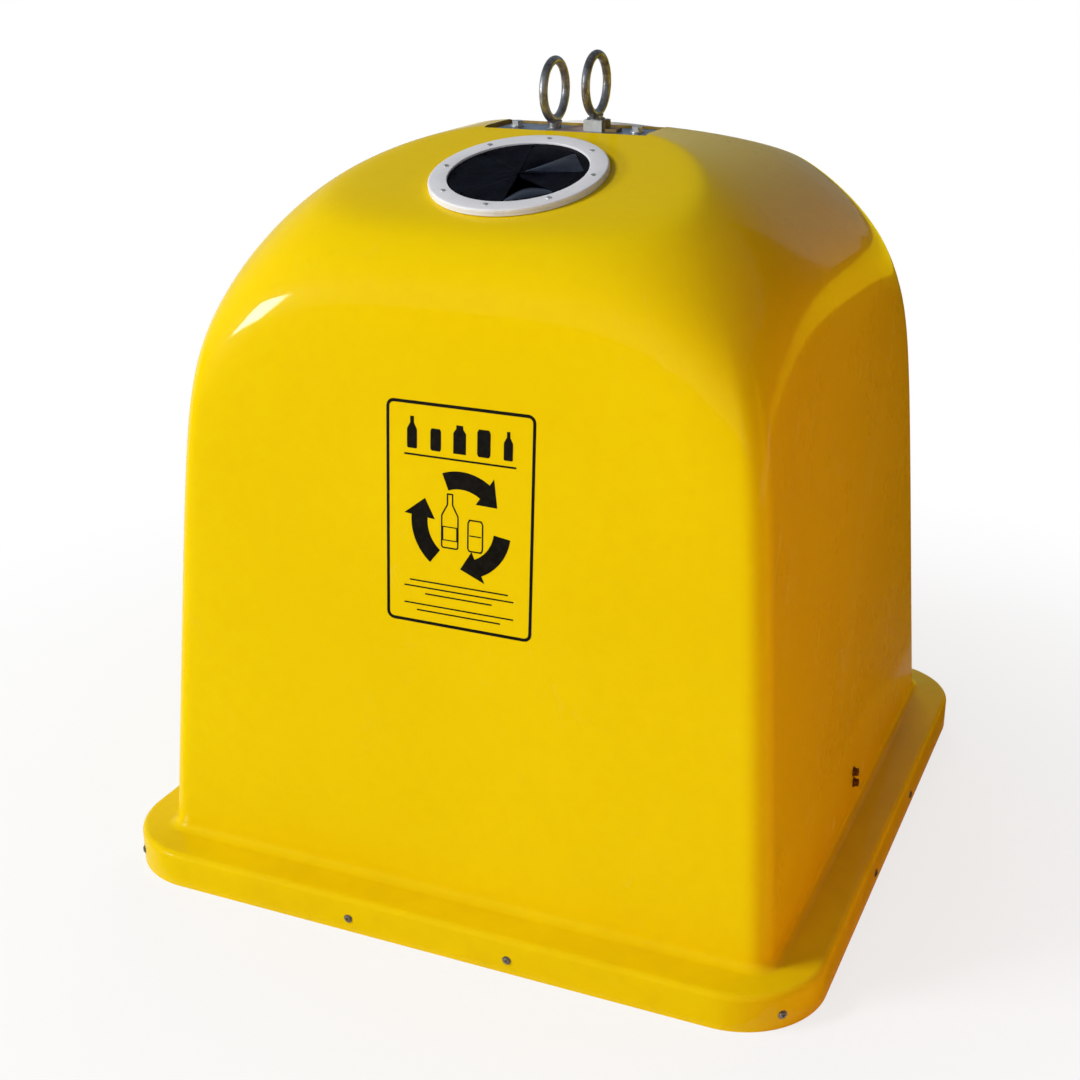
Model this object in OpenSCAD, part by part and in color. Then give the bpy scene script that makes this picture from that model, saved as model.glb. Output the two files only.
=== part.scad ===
// Bell-shaped recycling container for lifting by crane: a glass-fibre shell with two throw-ins,
// two lifting eyes on the crown and two bottom doors that drop open when the release eye is pulled.
// Millimetres, +Z up. The origin is the middle of the footprint, at floor level. The front is -Y.

/* [Shell] */
// Width of the shell across its flat walls, at their foot
body_w = 1140; // [1100:5:1160]
// Height of the crown above the floor
crown_h = 1295; // [1270:1:1320]
// Thickness of the laminate
wall_t = 5; // [4:0.5:6]
// Inward lean of each wall, in degrees
wall_lean = 4; // [3.5:0.1:4.5]
// Radius of the upright edges between the walls
edge_r = 38; // [30:1:50]
// Reach of the dome from the middle, where it springs
dome_r = 850; // [835:1:870]
// Height at which the dome springs
dome_base_h = 126; // [110:2:150]
// Narrowness of the dome from side to side, against front to back
dome_side_share = 0.945; // [0.93:0.005:0.97]
// Fullness of the dome's profile
dome_fullness = 3.15; // [3:0.05:3.3]
// Steepness of the dome's profile, where 2 is an ellipse
dome_steepness = 1.215; // [1.18:0.005:1.25]
// Squareness of the dome seen from above, where 2 is round
dome_squareness = 3.95; // [3.7:0.05:4.2]
// Sharpness of the blend between the dome, the walls and the throw-in slopes
blend_sharpness = 24; // [18:1:30]

/* [Skirt] */
// Width of the ledge between the foot of the wall and the skirt's face
ledge_w = 80; // [74:1:96]
// Height of the skirt's face
skirt_h = 66; // [62:1:76]
// Radius of the skirt's corners in plan
skirt_corner_r = 150; // [120:5:170]
// Radius of the skirt's top edge
skirt_edge_r = 12; // [8:1:16]
// Radius of the fillet between the ledge and the wall
ledge_fillet_r = 18; // [12:1:24]

/* [Throw-ins] */
// Distance of each throw-in's middle from the middle of the bell
throw_y = 244; // [238:1:250]
// Drop of the throw-in's seat, at its middle, below the crown
throw_drop = 59; // [55:1:64]
// Slope of the throw-in's seat, in degrees
throw_tilt = 15.5; // [14:0.5:17]
// Diameter of the clear opening in the collar
throw_open_d = 234; // [214:2:240]
// Outer diameter of the collar
collar_d = 298; // [290:2:304]
// Height of the collar above its seat
collar_h = 12; // [12:1:16]
// Height of the collar's lower ring, which carries the rubber
collar_low_h = 5; // [4:0.5:5]
// Thickness of the rubber disc that closes the throw-in
rubber_t = 3; // [2:0.5:4]
// Number of flaps that the disc is slit into
flap_count = 8; // [8:1:8]
// Width of the slits
slit_w = 1.6; // [1.2:0.2:2.4]
// Number of screws in each collar
collar_screw_count = 8; // [6:1:10]
// Diameter of the collar screws' shanks
collar_screw_d = 5; // [4:0.5:6]
// Turn of the slits away from straight across, in degrees
slit_phase = 10; // [0:1:20]

/* [Crown] */
// Length of the recess in the crown
recess_w = 300; // [290:2:320]
// Width of the recess in the crown
recess_d = 116; // [112:2:130]
// Depth of the recess floor below the crown
recess_depth = 17; // [15:1:20]
// Length of the crown plate
plate_w = 280; // [264:2:286]
// Width of the crown plate
plate_d = 104; // [90:2:108]
// Thickness of the crown plate
plate_t = 6; // [5:0.5:8]
// Distance between the two crown bolts
crown_bolt_spacing = 226; // [210:2:240]

/* [Lifting eyes] */
// Place of the lifting eye and its mast, right of the middle
mast_x = 37; // [34:1:40]
// Place of the release eye and its rod, left of the middle
rod_x = 41; // [38:1:44]
// Outer diameter of an eye's ring
eye_d = 114; // [108:1:122]
// Diameter of the eye's bar
eye_bar_d = 15; // [13:0.5:17]
// Width of the square mast
mast_w = 34; // [32:1:36]
// Wall of the square mast
mast_wall = 4; // [3:0.5:5]
// Height that the mast stands above the crown plate
mast_head_h = 19; // [18:1:24]
// Diameter of the release rod
rod_d = 16; // [14:1:18]
// Upward travel of the release rod
release_travel = 150; // [140:2:160]

/* [Beam and doors] */
// Width of the centre beam
beam_w = 100; // [90:2:104]
// Height of the centre beam's section
beam_h = 50; // [46:1:56]
// Wall of the centre beam
beam_wall = 4; // [3:0.5:5]
// Height of the centre beam's underside, which is the hinge pins' height too
beam_low_h = 100; // [96:1:104]
// Distance of each hinge line from the beam's side
hinge_out = 12; // [11:0.5:14]
// Diameter of the hinge pins
hinge_pin_d = 14; // [12:1:16]
// Distance of each hinge from the middle of the beam
hinge_x = 350; // [300:10:400]
// Clearance between the doors' ends and the side walls
door_side_gap = 3; // [2:0.5:6]
// Reach of the doors under the ledge, past the foot of the wall
door_lap = 10; // [6:1:12]
// Height of the doors' underside above the floor
door_low_h = 38; // [34:1:40]
// Thickness of the doors' sheet
door_t = 2.5; // [2:0.5:3]
// Height of the doors' folded rim
door_rim_h = 19; // [16:1:20]
// Radius of the doors' outer corners
door_corner_r = 60; // [50:5:80]
// Angle to which the doors drop open, in degrees
door_open_angle = 70; // [65:1:72]

/* [Latch] */
// Height of the horns' tips above the beam
horn_rise = 8; // [7:0.5:9]
// Depth that the latch cap reaches down over the horns
latch_bite = 10; // [8:0.5:10]
// Clearance between the cap and the horns while it lifts off them
latch_play = 0.3; // [0.3:0.1:1]
// Thickness of the horn and the door arms
arm_t = 12; // [10:1:14]
// Reach of each door arm out from the hinge
arm_reach = 190; // [160:5:220]
// Reach of each horn's foot out from the hinge
horn_reach = 150; // [130:5:170]

/* [Base frame] */
// Width of the base frame's two legs
frame_leg = 40; // [36:1:44]
// Thickness of the base frame's legs
frame_t = 4; // [3:0.5:5]
// Height of the screws through the skirt
skirt_screw_h = 26; // [22:1:30]
// Distance between the two screws in each side of the skirt
skirt_screw_spacing = 300; // [260:10:400]
// Diameter of the skirt screws' shanks
skirt_screw_d = 6; // [5:0.5:8]

/* [Hidden] */

// Fits and small clearances
seat_gap = 0.3;
frame_gap = 0.8;
run_gap = 0.05;
hole_gap = 0.5;
fuse = 1;

round_fn = 48;
small_fn = 24;

gelcoat = [0.93, 0.72, 0.02];
zinc = [0.62, 0.64, 0.66];
bare_steel = [0.5, 0.51, 0.52];
white_plastic = [0.92, 0.92, 0.94];
black_rubber = [0.06, 0.06, 0.07];
brown_primer = [0.4, 0.3, 0.22];

// Outline of the shell at any height
// The bell is four leaning walls, a dome and two throw-in slopes. Each is a reach from the middle,
// and a soft minimum of the three rounds one into the next.

foot_h = skirt_h + ledge_fillet_r;
skirt_w = body_w + 2 * ledge_w;
lean_rate = tan(wall_lean);
dome_rise = crown_h - dome_base_h;
recess_floor_h = crown_h - recess_depth;
throw_seat_h = crown_h - throw_drop;
slope_rate = tan(throw_tilt);
slope_crest_h = throw_seat_h + throw_y * slope_rate;

function wall_half(z) = body_w / 2 - (z - foot_h) * lean_rate;

// Reach at angle t of a square of half width h with corners of radius r
function square_reach(t, h, r) =
    let(
        c = max(abs(cos(t)), abs(sin(t))),
        s = min(abs(cos(t)), abs(sin(t))),
        b = (h - r) * (c + s)
    )
    s / c <= (h - r) / h ? h / c : b + sqrt(b * b - 2 * (h - r) * (h - r) + r * r);

// Reach of the dome at height z, drawn in by the depth e
function dome_reach(z, e) =
    let(k = max(0, (z - dome_base_h) / (dome_rise - e)))
    (dome_r - e) * pow(max(1 - pow(k, dome_steepness), 0.000001), 1 / dome_fullness);

// How far the dome's plan departs from a circle at angle t
function plan_factor(t) =
    let(m = dome_squareness)
    pow(pow(abs(cos(t)) / dome_side_share, m) + pow(abs(sin(t)), m), 1 / m);

// One over the reach of the throw-in slopes
function slope_inverse(t, z, e) =
    abs(sin(t)) * slope_rate / max(slope_crest_h - e / cos(throw_tilt) - z, 0.01);

// Reach of the shell's surface that lies e inside the outer one
function shell_reach(t, z, e) =
    let(
        a = 1 / square_reach(t, wall_half(z) - e, edge_r - e),
        b = plan_factor(t) / dome_reach(z, e),
        c = slope_inverse(t, z, e),
        m = max(a, b, c),
        p = blend_sharpness
    )
    1 / (m * pow(pow(a / m, p) + pow(b / m, p) + pow(c / m, p), 1 / p));

// Angles of the points round a ring, closer together towards the corners
corner_start = 36;
side_steps = 5;
corner_steps = 6;
eighth = concat(
    [for (i = [0 : side_steps - 1]) corner_start * i / side_steps],
    [for (i = [0 : corner_steps - 1]) corner_start + (45 - corner_start) * i / corner_steps]
);
ring_angles = [
    for (q = [0 : 3]) for (a = eighth) q * 90 + a,
    for (q = [0 : 3]) for (a = eighth) q * 90 + 90 - a
];
function sorted(v) =
    len(v) <= 1 ? v :
    let(
        p = v[floor(len(v) / 2)],
        low = [for (x = v) if (x < p - 0.001) x],
        high = [for (x = v) if (x > p + 0.001) x]
    )
    concat(sorted(low), [p], sorted(high));
angles = sorted([for (a = concat(ring_angles, [45, 135, 225, 315])) (a + 360) % 360]);
ring_n = len(angles);

function ring_square(z, h, r) =
    [for (t = angles) let(q = square_reach(t, h, r)) [q * cos(t), q * sin(t), z]];
function ring_shell(z, e) =
    [for (t = angles) let(q = shell_reach(t, z, e)) [q * cos(t), q * sin(t), z]];

// Ring of the foot's fillet, where a runs from the ledge at 0 to the wall at 90
function ring_fillet(a) =
    let(z = skirt_h + ledge_fillet_r * (1 - cos(a)), out = ledge_fillet_r * (1 - sin(a)))
    [for (t = angles)
        let(q = shell_reach(t, foot_h, 0) + out * square_reach(t, 1, 0.5))
        [q * cos(t), q * sin(t), z]];

edge_angles = [0, 30, 60, 90];
outer_steps = 19;
crown_step = 14;
inner_steps = 11;
last_turn = 88.6;

function dome_height(i, steps, e) = dome_base_h + (dome_rise - e) * sin(last_turn * i / steps);

outer_rings = concat(
    [ring_square(0, skirt_w / 2, skirt_corner_r)],
    [for (a = edge_angles)
        let(in = skirt_edge_r * (1 - cos(a)))
        ring_square(skirt_h - skirt_edge_r * (1 - sin(a)), skirt_w / 2 - in, skirt_corner_r - in)],
    [for (a = [0, 30, 60]) ring_fillet(a)],
    [ring_shell(foot_h, 0)],
    [for (i = [0 : outer_steps]) ring_shell(dome_height(i, outer_steps, 0), 0)]
);
inner_rings = concat(
    [ring_square(0, skirt_w / 2 - wall_t, skirt_corner_r - wall_t)],
    [ring_square(skirt_h - wall_t, skirt_w / 2 - wall_t, skirt_corner_r - wall_t)],
    [ring_shell(skirt_h - wall_t, wall_t)],
    [for (i = [0 : inner_steps]) ring_shell(dome_height(i, inner_steps, wall_t), wall_t)]
);

outer_n = len(outer_rings);
inner_n = len(inner_rings);
bell_points = concat(
    [for (r = outer_rings) for (p = r) p],
    [for (r = inner_rings) for (p = r) p],
    [[0, 0, crown_h], [0, 0, crown_h - wall_t]]
);
outer_apex = (outer_n + inner_n) * ring_n;
inner_apex = outer_apex + 1;
function at_outer(j, i) = j * ring_n + i % ring_n;
function at_inner(j, i) = (outer_n + j) * ring_n + i % ring_n;

bell_faces = concat(
    [for (j = [0 : outer_n - 2]) for (i = [0 : ring_n - 1])
        each [[at_outer(j, i), at_outer(j + 1, i), at_outer(j + 1, i + 1)],
              [at_outer(j, i), at_outer(j + 1, i + 1), at_outer(j, i + 1)]]],
    [for (j = [0 : inner_n - 2]) for (i = [0 : ring_n - 1])
        each [[at_inner(j, i), at_inner(j, i + 1), at_inner(j + 1, i + 1)],
              [at_inner(j, i), at_inner(j + 1, i + 1), at_inner(j + 1, i)]]],
    [for (i = [0 : ring_n - 1])
        each [[at_outer(0, i), at_outer(0, i + 1), at_inner(0, i + 1)],
              [at_outer(0, i), at_inner(0, i + 1), at_inner(0, i)]]],
    [for (i = [0 : ring_n - 1]) [at_outer(outer_n - 1, i), outer_apex, at_outer(outer_n - 1, i + 1)]],
    [for (i = [0 : ring_n - 1]) [at_inner(inner_n - 1, i), at_inner(inner_n - 1, i + 1), inner_apex]]
);

module bell() {
    polyhedron(points = bell_points, faces = bell_faces, convexity = 10);
}

// Derived sizes of the throw-ins

throw_hole_r = throw_open_d / 2 + 3;
rubber_r = collar_d / 2 - 8;
collar_screw_r = (throw_open_d / 2 + rubber_r) / 2 + 2;
screw_hole_r = collar_screw_d / 2 + hole_gap / 2;
seat_ring_t = 12;
flap_angle = 360 / flap_count;
flap_root = throw_open_d / 2 * cos(flap_angle / 2) - 6;
flap_open_gap = 0.4;

// Derived sizes of the crown

plate_low_h = recess_floor_h;
plate_top_h = plate_low_h + plate_t;
mast_top_h = plate_top_h + mast_head_h;
crown_bolt_r = 6;
bush_r = 13;
bush_flange_r = 22;
bush_flange_t = 7;
bush_low_h = recess_floor_h - wall_t - bush_flange_t - seat_gap;

// Derived sizes of the beam, the hinges and the doors

beam_top_h = beam_low_h + beam_h;
hinge_y = beam_w / 2 + hinge_out;
lug_r = hinge_out + beam_wall / 2;
lug_t = 8;
hub_gap = 1;
arm_hub_r = hinge_out - hub_gap;
door_top_h = door_low_h + door_t;
door_inner_y = hinge_y + 8;
door_half = wall_half(foot_h) - wall_t - door_side_gap;
door_reach = wall_half(foot_h) + door_lap;
horn_top_h = beam_top_h + horn_rise;
horn_inner_y = beam_w / 2 + 5;
horn_outer_y = horn_inner_y + 8;
cap_leg_t = 8;
horn_lift = horn_top_h - beam_low_h;
latch_gap = latch_play + horn_lift * (door_open_angle * PI / 180) * latch_bite / release_travel;
cap_leg_y = horn_outer_y + latch_gap;
cap_top_t = 10;
cap_low_h = horn_top_h + 0.5;
cap_top_h = cap_low_h + cap_top_t;
cap_len = 60;
cap_boss_r = 16;
cap_boss_h = 24;
cap_pin_d = 6;
rod_low_h = cap_top_h + seat_gap;
eye_neck_r = 12;
eye_neck_h = 10;
rod_top_h = plate_top_h + fuse + eye_neck_h - 4;
ring_r = (eye_d - eye_bar_d) / 2;
stop_t = 14;
stop_top_h = bush_low_h - release_travel - 1;
beam_bolt_d = 10;
end_plate_t = 8;
end_gap = 0.5;
beam_nut_low = -wall_t - 2 * end_gap - end_plate_t - beam_bolt_d;
beam_bolt_rise = 11;
guide_heights = [420, 860];
guide_t = 10;
guide_w = 36;

// Building blocks

module rounded_square(h, r) {
    square([2 * (h - r), 2 * h], center = true);
    square([2 * h, 2 * (h - r)], center = true);
    for (x = [-1, 1]) for (y = [-1, 1])
        translate([x * (h - r), y * (h - r)]) circle(r = r, $fn = 96);
}

module at_throw(side) {
    rotate([0, 0, side < 0 ? 0 : 180])
        translate([0, -throw_y, throw_seat_h])
            rotate([throw_tilt, 0, 0]) children();
}

module x_cylinder(r, h, fn = round_fn) {
    rotate([0, 90, 0]) cylinder(r = r, h = h, center = true, $fn = fn);
}

// Places the skirt's screws, with +Z pointing out of the skirt's face
module at_skirt_screws() {
    corner_reach = sqrt(2) * (skirt_w / 2 - skirt_corner_r) + skirt_corner_r;
    for (q = [0 : 3]) rotate([0, 0, q * 90]) {
        for (x = [-1, 1])
            translate([x * skirt_screw_spacing / 2, -skirt_w / 2, skirt_screw_h])
                rotate([90, 0, 0]) children();
        rotate([0, 0, 45])
            translate([0, -corner_reach, skirt_screw_h])
                rotate([90, 0, 0]) children();
    }
}

// Places the bolts through the side walls, with +Z pointing out of the wall
module at_beam_bolts() {
    for (side = [-1, 1]) for (dz = [-beam_bolt_rise, beam_bolt_rise]) {
        z = beam_low_h + beam_h / 2 + dz;
        translate([side * wall_half(z), 0, z])
            rotate([0, side * (90 - wall_lean), 0]) children();
    }
}

// Shell

module shell() {
    color(gelcoat) difference() {
        union() {
            difference() {
                bell();
                translate([-recess_w / 2, -recess_d / 2, recess_floor_h - wall_t])
                    cube([recess_w, recess_d, 2 * recess_depth]);
            }
            recess_tray();
            for (side = [-1, 1]) at_throw(side)
                translate([0, 0, -seat_ring_t])
                    cylinder(r = collar_d / 2 + 2, h = seat_ring_t, $fn = 64);
        }
        for (side = [-1, 1]) at_throw(side) {
            translate([0, 0, -60]) cylinder(r = throw_hole_r, h = 120, $fn = 64);
            for (i = [0 : collar_screw_count - 1])
                rotate([0, 0, i * 360 / collar_screw_count])
                    translate([collar_screw_r, 0, -60])
                        cylinder(r = screw_hole_r, h = 120, $fn = 12);
        }
        at_skirt_screws()
            cylinder(r = skirt_screw_d / 2 + hole_gap, h = 40, center = true, $fn = 12);
        at_beam_bolts()
            cylinder(r = beam_bolt_d / 2 + hole_gap, h = 40, center = true, $fn = 12);
    }
}

// Tray of the recess in the crown, with holes for the mast, the bush and the two bolts
module recess_tray() {
    floor_low = recess_floor_h - wall_t;
    difference() {
        intersection() {
            translate([-recess_w / 2 - wall_t, -recess_d / 2 - wall_t, floor_low])
                cube([recess_w + 2 * wall_t, recess_d + 2 * wall_t, crown_h - floor_low]);
            crown_block();
        }
        translate([-recess_w / 2, -recess_d / 2, recess_floor_h])
            cube([recess_w, recess_d, 2 * recess_depth]);
        translate([mast_x - mast_w / 2 - hole_gap, -mast_w / 2 - hole_gap, floor_low - 1])
            cube([mast_w + 2 * hole_gap, mast_w + 2 * hole_gap, 20]);
        translate([-rod_x, 0, floor_low - 1]) cylinder(r = bush_r + hole_gap, h = 20, $fn = small_fn);
        for (x = [-1, 1])
            translate([x * crown_bolt_spacing / 2, 0, floor_low - 1])
                cylinder(r = crown_bolt_r + hole_gap, h = 20, $fn = small_fn);
    }
}

// Solid under the outer surface of the crown, to trim the tray to it
module crown_block() {
    rings = [for (i = [crown_step : outer_steps]) ring_shell(dome_height(i, outer_steps, 0) - 0.2, 0)];
    n = len(rings);
    base = n * ring_n;
    polyhedron(
        points = concat([for (r = rings) for (p = r) p], [[0, 0, rings[0][0][2]], [0, 0, crown_h - 0.2]]),
        faces = concat(
            [for (j = [0 : n - 2]) for (i = [0 : ring_n - 1])
                each [[at_outer(j, i), at_outer(j + 1, i), at_outer(j + 1, i + 1)],
                      [at_outer(j, i), at_outer(j + 1, i + 1), at_outer(j, i + 1)]]],
            [for (i = [0 : ring_n - 1]) [at_outer(0, i), at_outer(0, i + 1), base]],
            [for (i = [0 : ring_n - 1]) [at_outer(n - 1, i), base + 1, at_outer(n - 1, i + 1)]]
        ), convexity = 4);
}

// Base frame and its screws
// Four straight angle bars and four bent corners, with a weld joint at each end of a corner.

module base_frame() {
    outer = skirt_w / 2 - wall_t - frame_gap;
    outer_r = skirt_corner_r - wall_t - frame_gap;
    color(zinc) difference() {
        union() {
            linear_extrude(frame_t) difference() {
                rounded_square(outer, outer_r);
                rounded_square(outer - frame_leg, outer_r - frame_leg);
            }
            linear_extrude(frame_leg) difference() {
                rounded_square(outer, outer_r);
                rounded_square(outer - frame_t, outer_r - frame_t);
            }
        }
        at_skirt_screws()
            cylinder(r = skirt_screw_d / 2 + hole_gap / 2, h = 40, center = true, $fn = small_fn);
        for (q = [0 : 3]) rotate([0, 0, q * 90]) for (x = [-1, 1])
            translate([x * (outer - outer_r) - seat_gap / 2, -outer - fuse, -fuse])
                cube([seat_gap, frame_leg + 2 * fuse, frame_leg + 2 * fuse]);
    }
}

module skirt_screws() {
    shank = wall_t + frame_gap + frame_t + 8;
    color(zinc) at_skirt_screws() {
        translate([0, 0, 0.1]) rotate_extrude($fn = small_fn)
            polygon([
                [0, 0], [skirt_screw_d, 0], [skirt_screw_d, 1.6], [skirt_screw_d - 1.5, 3.2], [0, 3.4]
            ]);
        translate([0, 0, -shank]) cylinder(d = skirt_screw_d, h = shank + fuse, $fn = small_fn);
        translate([0, 0, -shank + 2])
            cylinder(d = skirt_screw_d * 1.8, h = 8 - 2 - 2 * seat_gap, $fn = 6);
    }
}

// Centre beam with its end plates and hinge lugs

module centre_beam() {
    end_h = beam_h + beam_bolt_d;
    end_w = beam_w + beam_bolt_d;
    beam_len = 2 * (wall_half(beam_top_h) - wall_t - 3);
    color(zinc) difference() {
        union() {
            difference() {
                translate([-beam_len / 2, -beam_w / 2, beam_low_h]) cube([beam_len, beam_w, beam_h]);
                translate([-beam_len, -beam_w / 2 + beam_wall, beam_low_h + beam_wall])
                    cube([2 * beam_len, beam_w - 2 * beam_wall, beam_h - 2 * beam_wall]);
            }
            for (side = [-1, 1])
                translate([side * wall_half(beam_low_h + beam_h / 2), 0, beam_low_h + beam_h / 2])
                    rotate([0, side * (90 - wall_lean), 0])
                        translate([-end_h / 2, -end_w / 2, -wall_t - end_gap - end_plate_t])
                            cube([end_h, end_w, end_plate_t]);
            for (side = [-1, 1]) for (x = [-1, 1]) for (d = [-1, 1])
                translate([x * hinge_x + d * (arm_t / 2 + hole_gap + lug_t / 2), 0, 0]) hinge_lug(side);
        }
        for (side = [-1, 1]) for (x = [-1, 1])
            translate([x * hinge_x, side * hinge_y, beam_low_h])
                x_cylinder(hinge_pin_d / 2 + run_gap, 60);
        at_beam_bolts()
            cylinder(r = beam_bolt_d / 2 + hole_gap, h = 60, center = true, $fn = small_fn);
    }
}

module hinge_lug(side) {
    reach = hinge_y - beam_w / 2;
    translate([0, side * hinge_y, beam_low_h]) x_cylinder(lug_r, lug_t);
    translate([-lug_t / 2, side > 0 ? beam_w / 2 - fuse : -hinge_y, beam_low_h])
        cube([lug_t, reach + fuse, lug_r]);
}

module beam_bolts() {
    color(zinc) at_beam_bolts() {
        translate([0, 0, seat_gap]) cylinder(d = beam_bolt_d * 1.9, h = 2, $fn = small_fn);
        translate([0, 0, 2 + seat_gap]) cylinder(d = beam_bolt_d * 1.65, h = 7, $fn = 6);
        translate([0, 0, beam_nut_low - beam_bolt_d])
            cylinder(d = beam_bolt_d, h = 2 - beam_nut_low + beam_bolt_d, $fn = small_fn);
    }
}

module beam_nuts() {
    color(zinc) at_beam_bolts() translate([0, 0, beam_nut_low]) difference() {
        cylinder(d = beam_bolt_d * 1.65, h = beam_bolt_d, $fn = 6);
        translate([0, 0, -1])
            cylinder(d = beam_bolt_d + 2 * run_gap, h = beam_bolt_d + 2, $fn = small_fn);
    }
}

// Mast, crown plate and lifting eye

module mast() {
    plug_h = 32;
    inner = mast_w - 2 * mast_wall;
    color(zinc) translate([mast_x, 0, 0]) difference() {
        translate([-mast_w / 2, -mast_w / 2, beam_top_h])
            cube([mast_w, mast_w, mast_top_h - beam_top_h]);
        translate([-inner / 2, -inner / 2, beam_top_h + 6])
            cube([inner, inner, mast_top_h - plug_h - beam_top_h - 6]);
        translate([0, 0, mast_top_h - 26])
            cylinder(r = eye_bar_d / 2 + 1.5 + run_gap, h = 40, $fn = round_fn);
    }
}

module crown_plate() {
    color(zinc) difference() {
        translate([-plate_w / 2, -plate_d / 2, plate_low_h]) cube([plate_w, plate_d, plate_t]);
        translate([mast_x - mast_w / 2 - seat_gap, -mast_w / 2 - seat_gap, plate_low_h - 1])
            cube([mast_w + 2 * seat_gap, mast_w + 2 * seat_gap, plate_t + 2]);
        translate([-rod_x, 0, plate_low_h - 1])
            cylinder(r = bush_r + run_gap, h = plate_t + 2, $fn = round_fn);
        for (x = [-1, 1])
            translate([x * crown_bolt_spacing / 2, 0, plate_low_h - 1])
                cylinder(r = crown_bolt_r + hole_gap, h = plate_t + 2, $fn = small_fn);
    }
}

module crown_bolts() {
    washer_t = 2.5;
    nut_h = 1.7 * crown_bolt_r;
    below = recess_floor_h - wall_t - seat_gap - nut_h;
    color(zinc) for (x = [-1, 1]) translate([x * crown_bolt_spacing / 2, 0, 0]) {
        translate([0, 0, plate_top_h]) cylinder(r = 2 * crown_bolt_r, h = washer_t, $fn = small_fn);
        translate([0, 0, plate_top_h + washer_t]) cylinder(d = crown_bolt_r * 3.3, h = 8, $fn = 6);
        translate([0, 0, below - crown_bolt_r])
            cylinder(r = crown_bolt_r, h = plate_top_h + 1 - below + crown_bolt_r, $fn = small_fn);
        translate([0, 0, below]) cylinder(d = crown_bolt_r * 3.3, h = nut_h, $fn = 6);
    }
}

module mast_cleat() {
    leg = 26;
    t = 5;
    color(brown_primer) translate([mast_x + mast_w / 2, -leg / 2, plate_top_h]) {
        cube([t, leg, mast_head_h]);
        cube([leg, leg, t]);
    }
}

module eye_ring() {
    rotate([0, 90, 0]) rotate_extrude($fn = 72) translate([ring_r, 0]) circle(d = eye_bar_d, $fn = 24);
}

module lifting_eye() {
    middle = mast_top_h + 2 + eye_d / 2;
    color(bare_steel) translate([mast_x, 0, 0]) {
        translate([0, 0, middle]) eye_ring();
        translate([0, 0, mast_top_h]) cylinder(r = eye_neck_r, h = 8, $fn = round_fn);
        translate([0, 0, mast_top_h - 24]) cylinder(r = eye_bar_d / 2 + 1.5, h = 26, $fn = round_fn);
    }
}

// Release rod with its guides, eye, stop and latch cap

module rod_guides() {
    from = mast_x - mast_w / 2;
    color(zinc) for (z = guide_heights) translate([0, 0, z]) difference() {
        union() {
            translate([-rod_x, -guide_w / 2, 0]) cube([rod_x + from, guide_w, guide_t]);
            translate([-rod_x, 0, 0]) cylinder(r = guide_w / 2 + 3, h = guide_t, $fn = round_fn);
        }
        translate([-rod_x, 0, -1]) cylinder(r = bush_r + run_gap, h = guide_t + 2, $fn = round_fn);
    }
}

module guide_bushes() {
    color(white_plastic) for (z = guide_heights) translate([-rod_x, 0, z]) difference() {
        union() {
            translate([0, 0, -1]) cylinder(r = bush_r, h = guide_t + 1, $fn = round_fn);
            translate([0, 0, guide_t + seat_gap]) cylinder(r = bush_r + 4, h = 4, $fn = round_fn);
            translate([0, 0, guide_t - 1]) cylinder(r = bush_r - 1, h = 2, $fn = round_fn);
        }
        translate([0, 0, -2]) cylinder(r = rod_d / 2 + run_gap, h = 30, $fn = round_fn);
    }
}

module crown_bush() {
    color(white_plastic) translate([-rod_x, 0, 0]) difference() {
        union() {
            translate([0, 0, bush_low_h])
                cylinder(r = bush_r, h = plate_top_h - bush_low_h, $fn = round_fn);
            translate([0, 0, bush_low_h]) cylinder(r = bush_flange_r, h = bush_flange_t, $fn = round_fn);
        }
        translate([0, 0, bush_low_h - 1]) cylinder(r = rod_d / 2 + run_gap, h = 60, $fn = round_fn);
    }
}

module release_rod() {
    color(bare_steel) translate([-rod_x, 0, 0]) difference() {
        translate([0, 0, rod_low_h]) cylinder(d = rod_d, h = rod_top_h - rod_low_h, $fn = round_fn);
        translate([0, 0, cap_top_h + cap_boss_h / 2]) x_cylinder(cap_pin_d / 2 + run_gap, 60, small_fn);
    }
}

module release_eye() {
    neck_low = plate_top_h + fuse;
    middle = neck_low + eye_neck_h - 2 + eye_d / 2;
    color(bare_steel) translate([-rod_x, 0, 0]) difference() {
        union() {
            translate([0, 0, middle]) eye_ring();
            translate([0, 0, neck_low]) cylinder(r = eye_neck_r, h = eye_neck_h + 2, $fn = round_fn);
        }
        translate([0, 0, neck_low - 1])
            cylinder(r = rod_d / 2 + run_gap, h = rod_top_h - neck_low + 1 + seat_gap, $fn = round_fn);
    }
}

module stop_collar() {
    color(zinc) translate([-rod_x, 0, stop_top_h - stop_t]) difference() {
        cylinder(r = rod_d / 2 + 9, h = stop_t, $fn = round_fn);
        translate([0, 0, -1]) cylinder(r = rod_d / 2 + run_gap, h = stop_t + 2, $fn = round_fn);
    }
}

module latch_cap() {
    leg_low = horn_top_h - latch_bite;
    half = cap_leg_y + cap_leg_t;
    color(zinc) translate([-rod_x, 0, 0]) difference() {
        union() {
            translate([-cap_len / 2, -half, cap_low_h]) cube([cap_len, 2 * half, cap_top_t]);
            for (side = [-1, 1])
                translate([-cap_len / 2, side > 0 ? cap_leg_y : -half, leg_low])
                    cube([cap_len, cap_leg_t, cap_low_h - leg_low + fuse]);
            translate([0, 0, cap_top_h - fuse])
                cylinder(r = cap_boss_r, h = cap_boss_h + fuse, $fn = round_fn);
        }
        translate([0, 0, cap_top_h]) cylinder(r = rod_d / 2 + run_gap, h = 60, $fn = round_fn);
        translate([0, 0, cap_top_h + cap_boss_h / 2]) x_cylinder(cap_pin_d / 2 + run_gap, 60, small_fn);
    }
}

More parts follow.
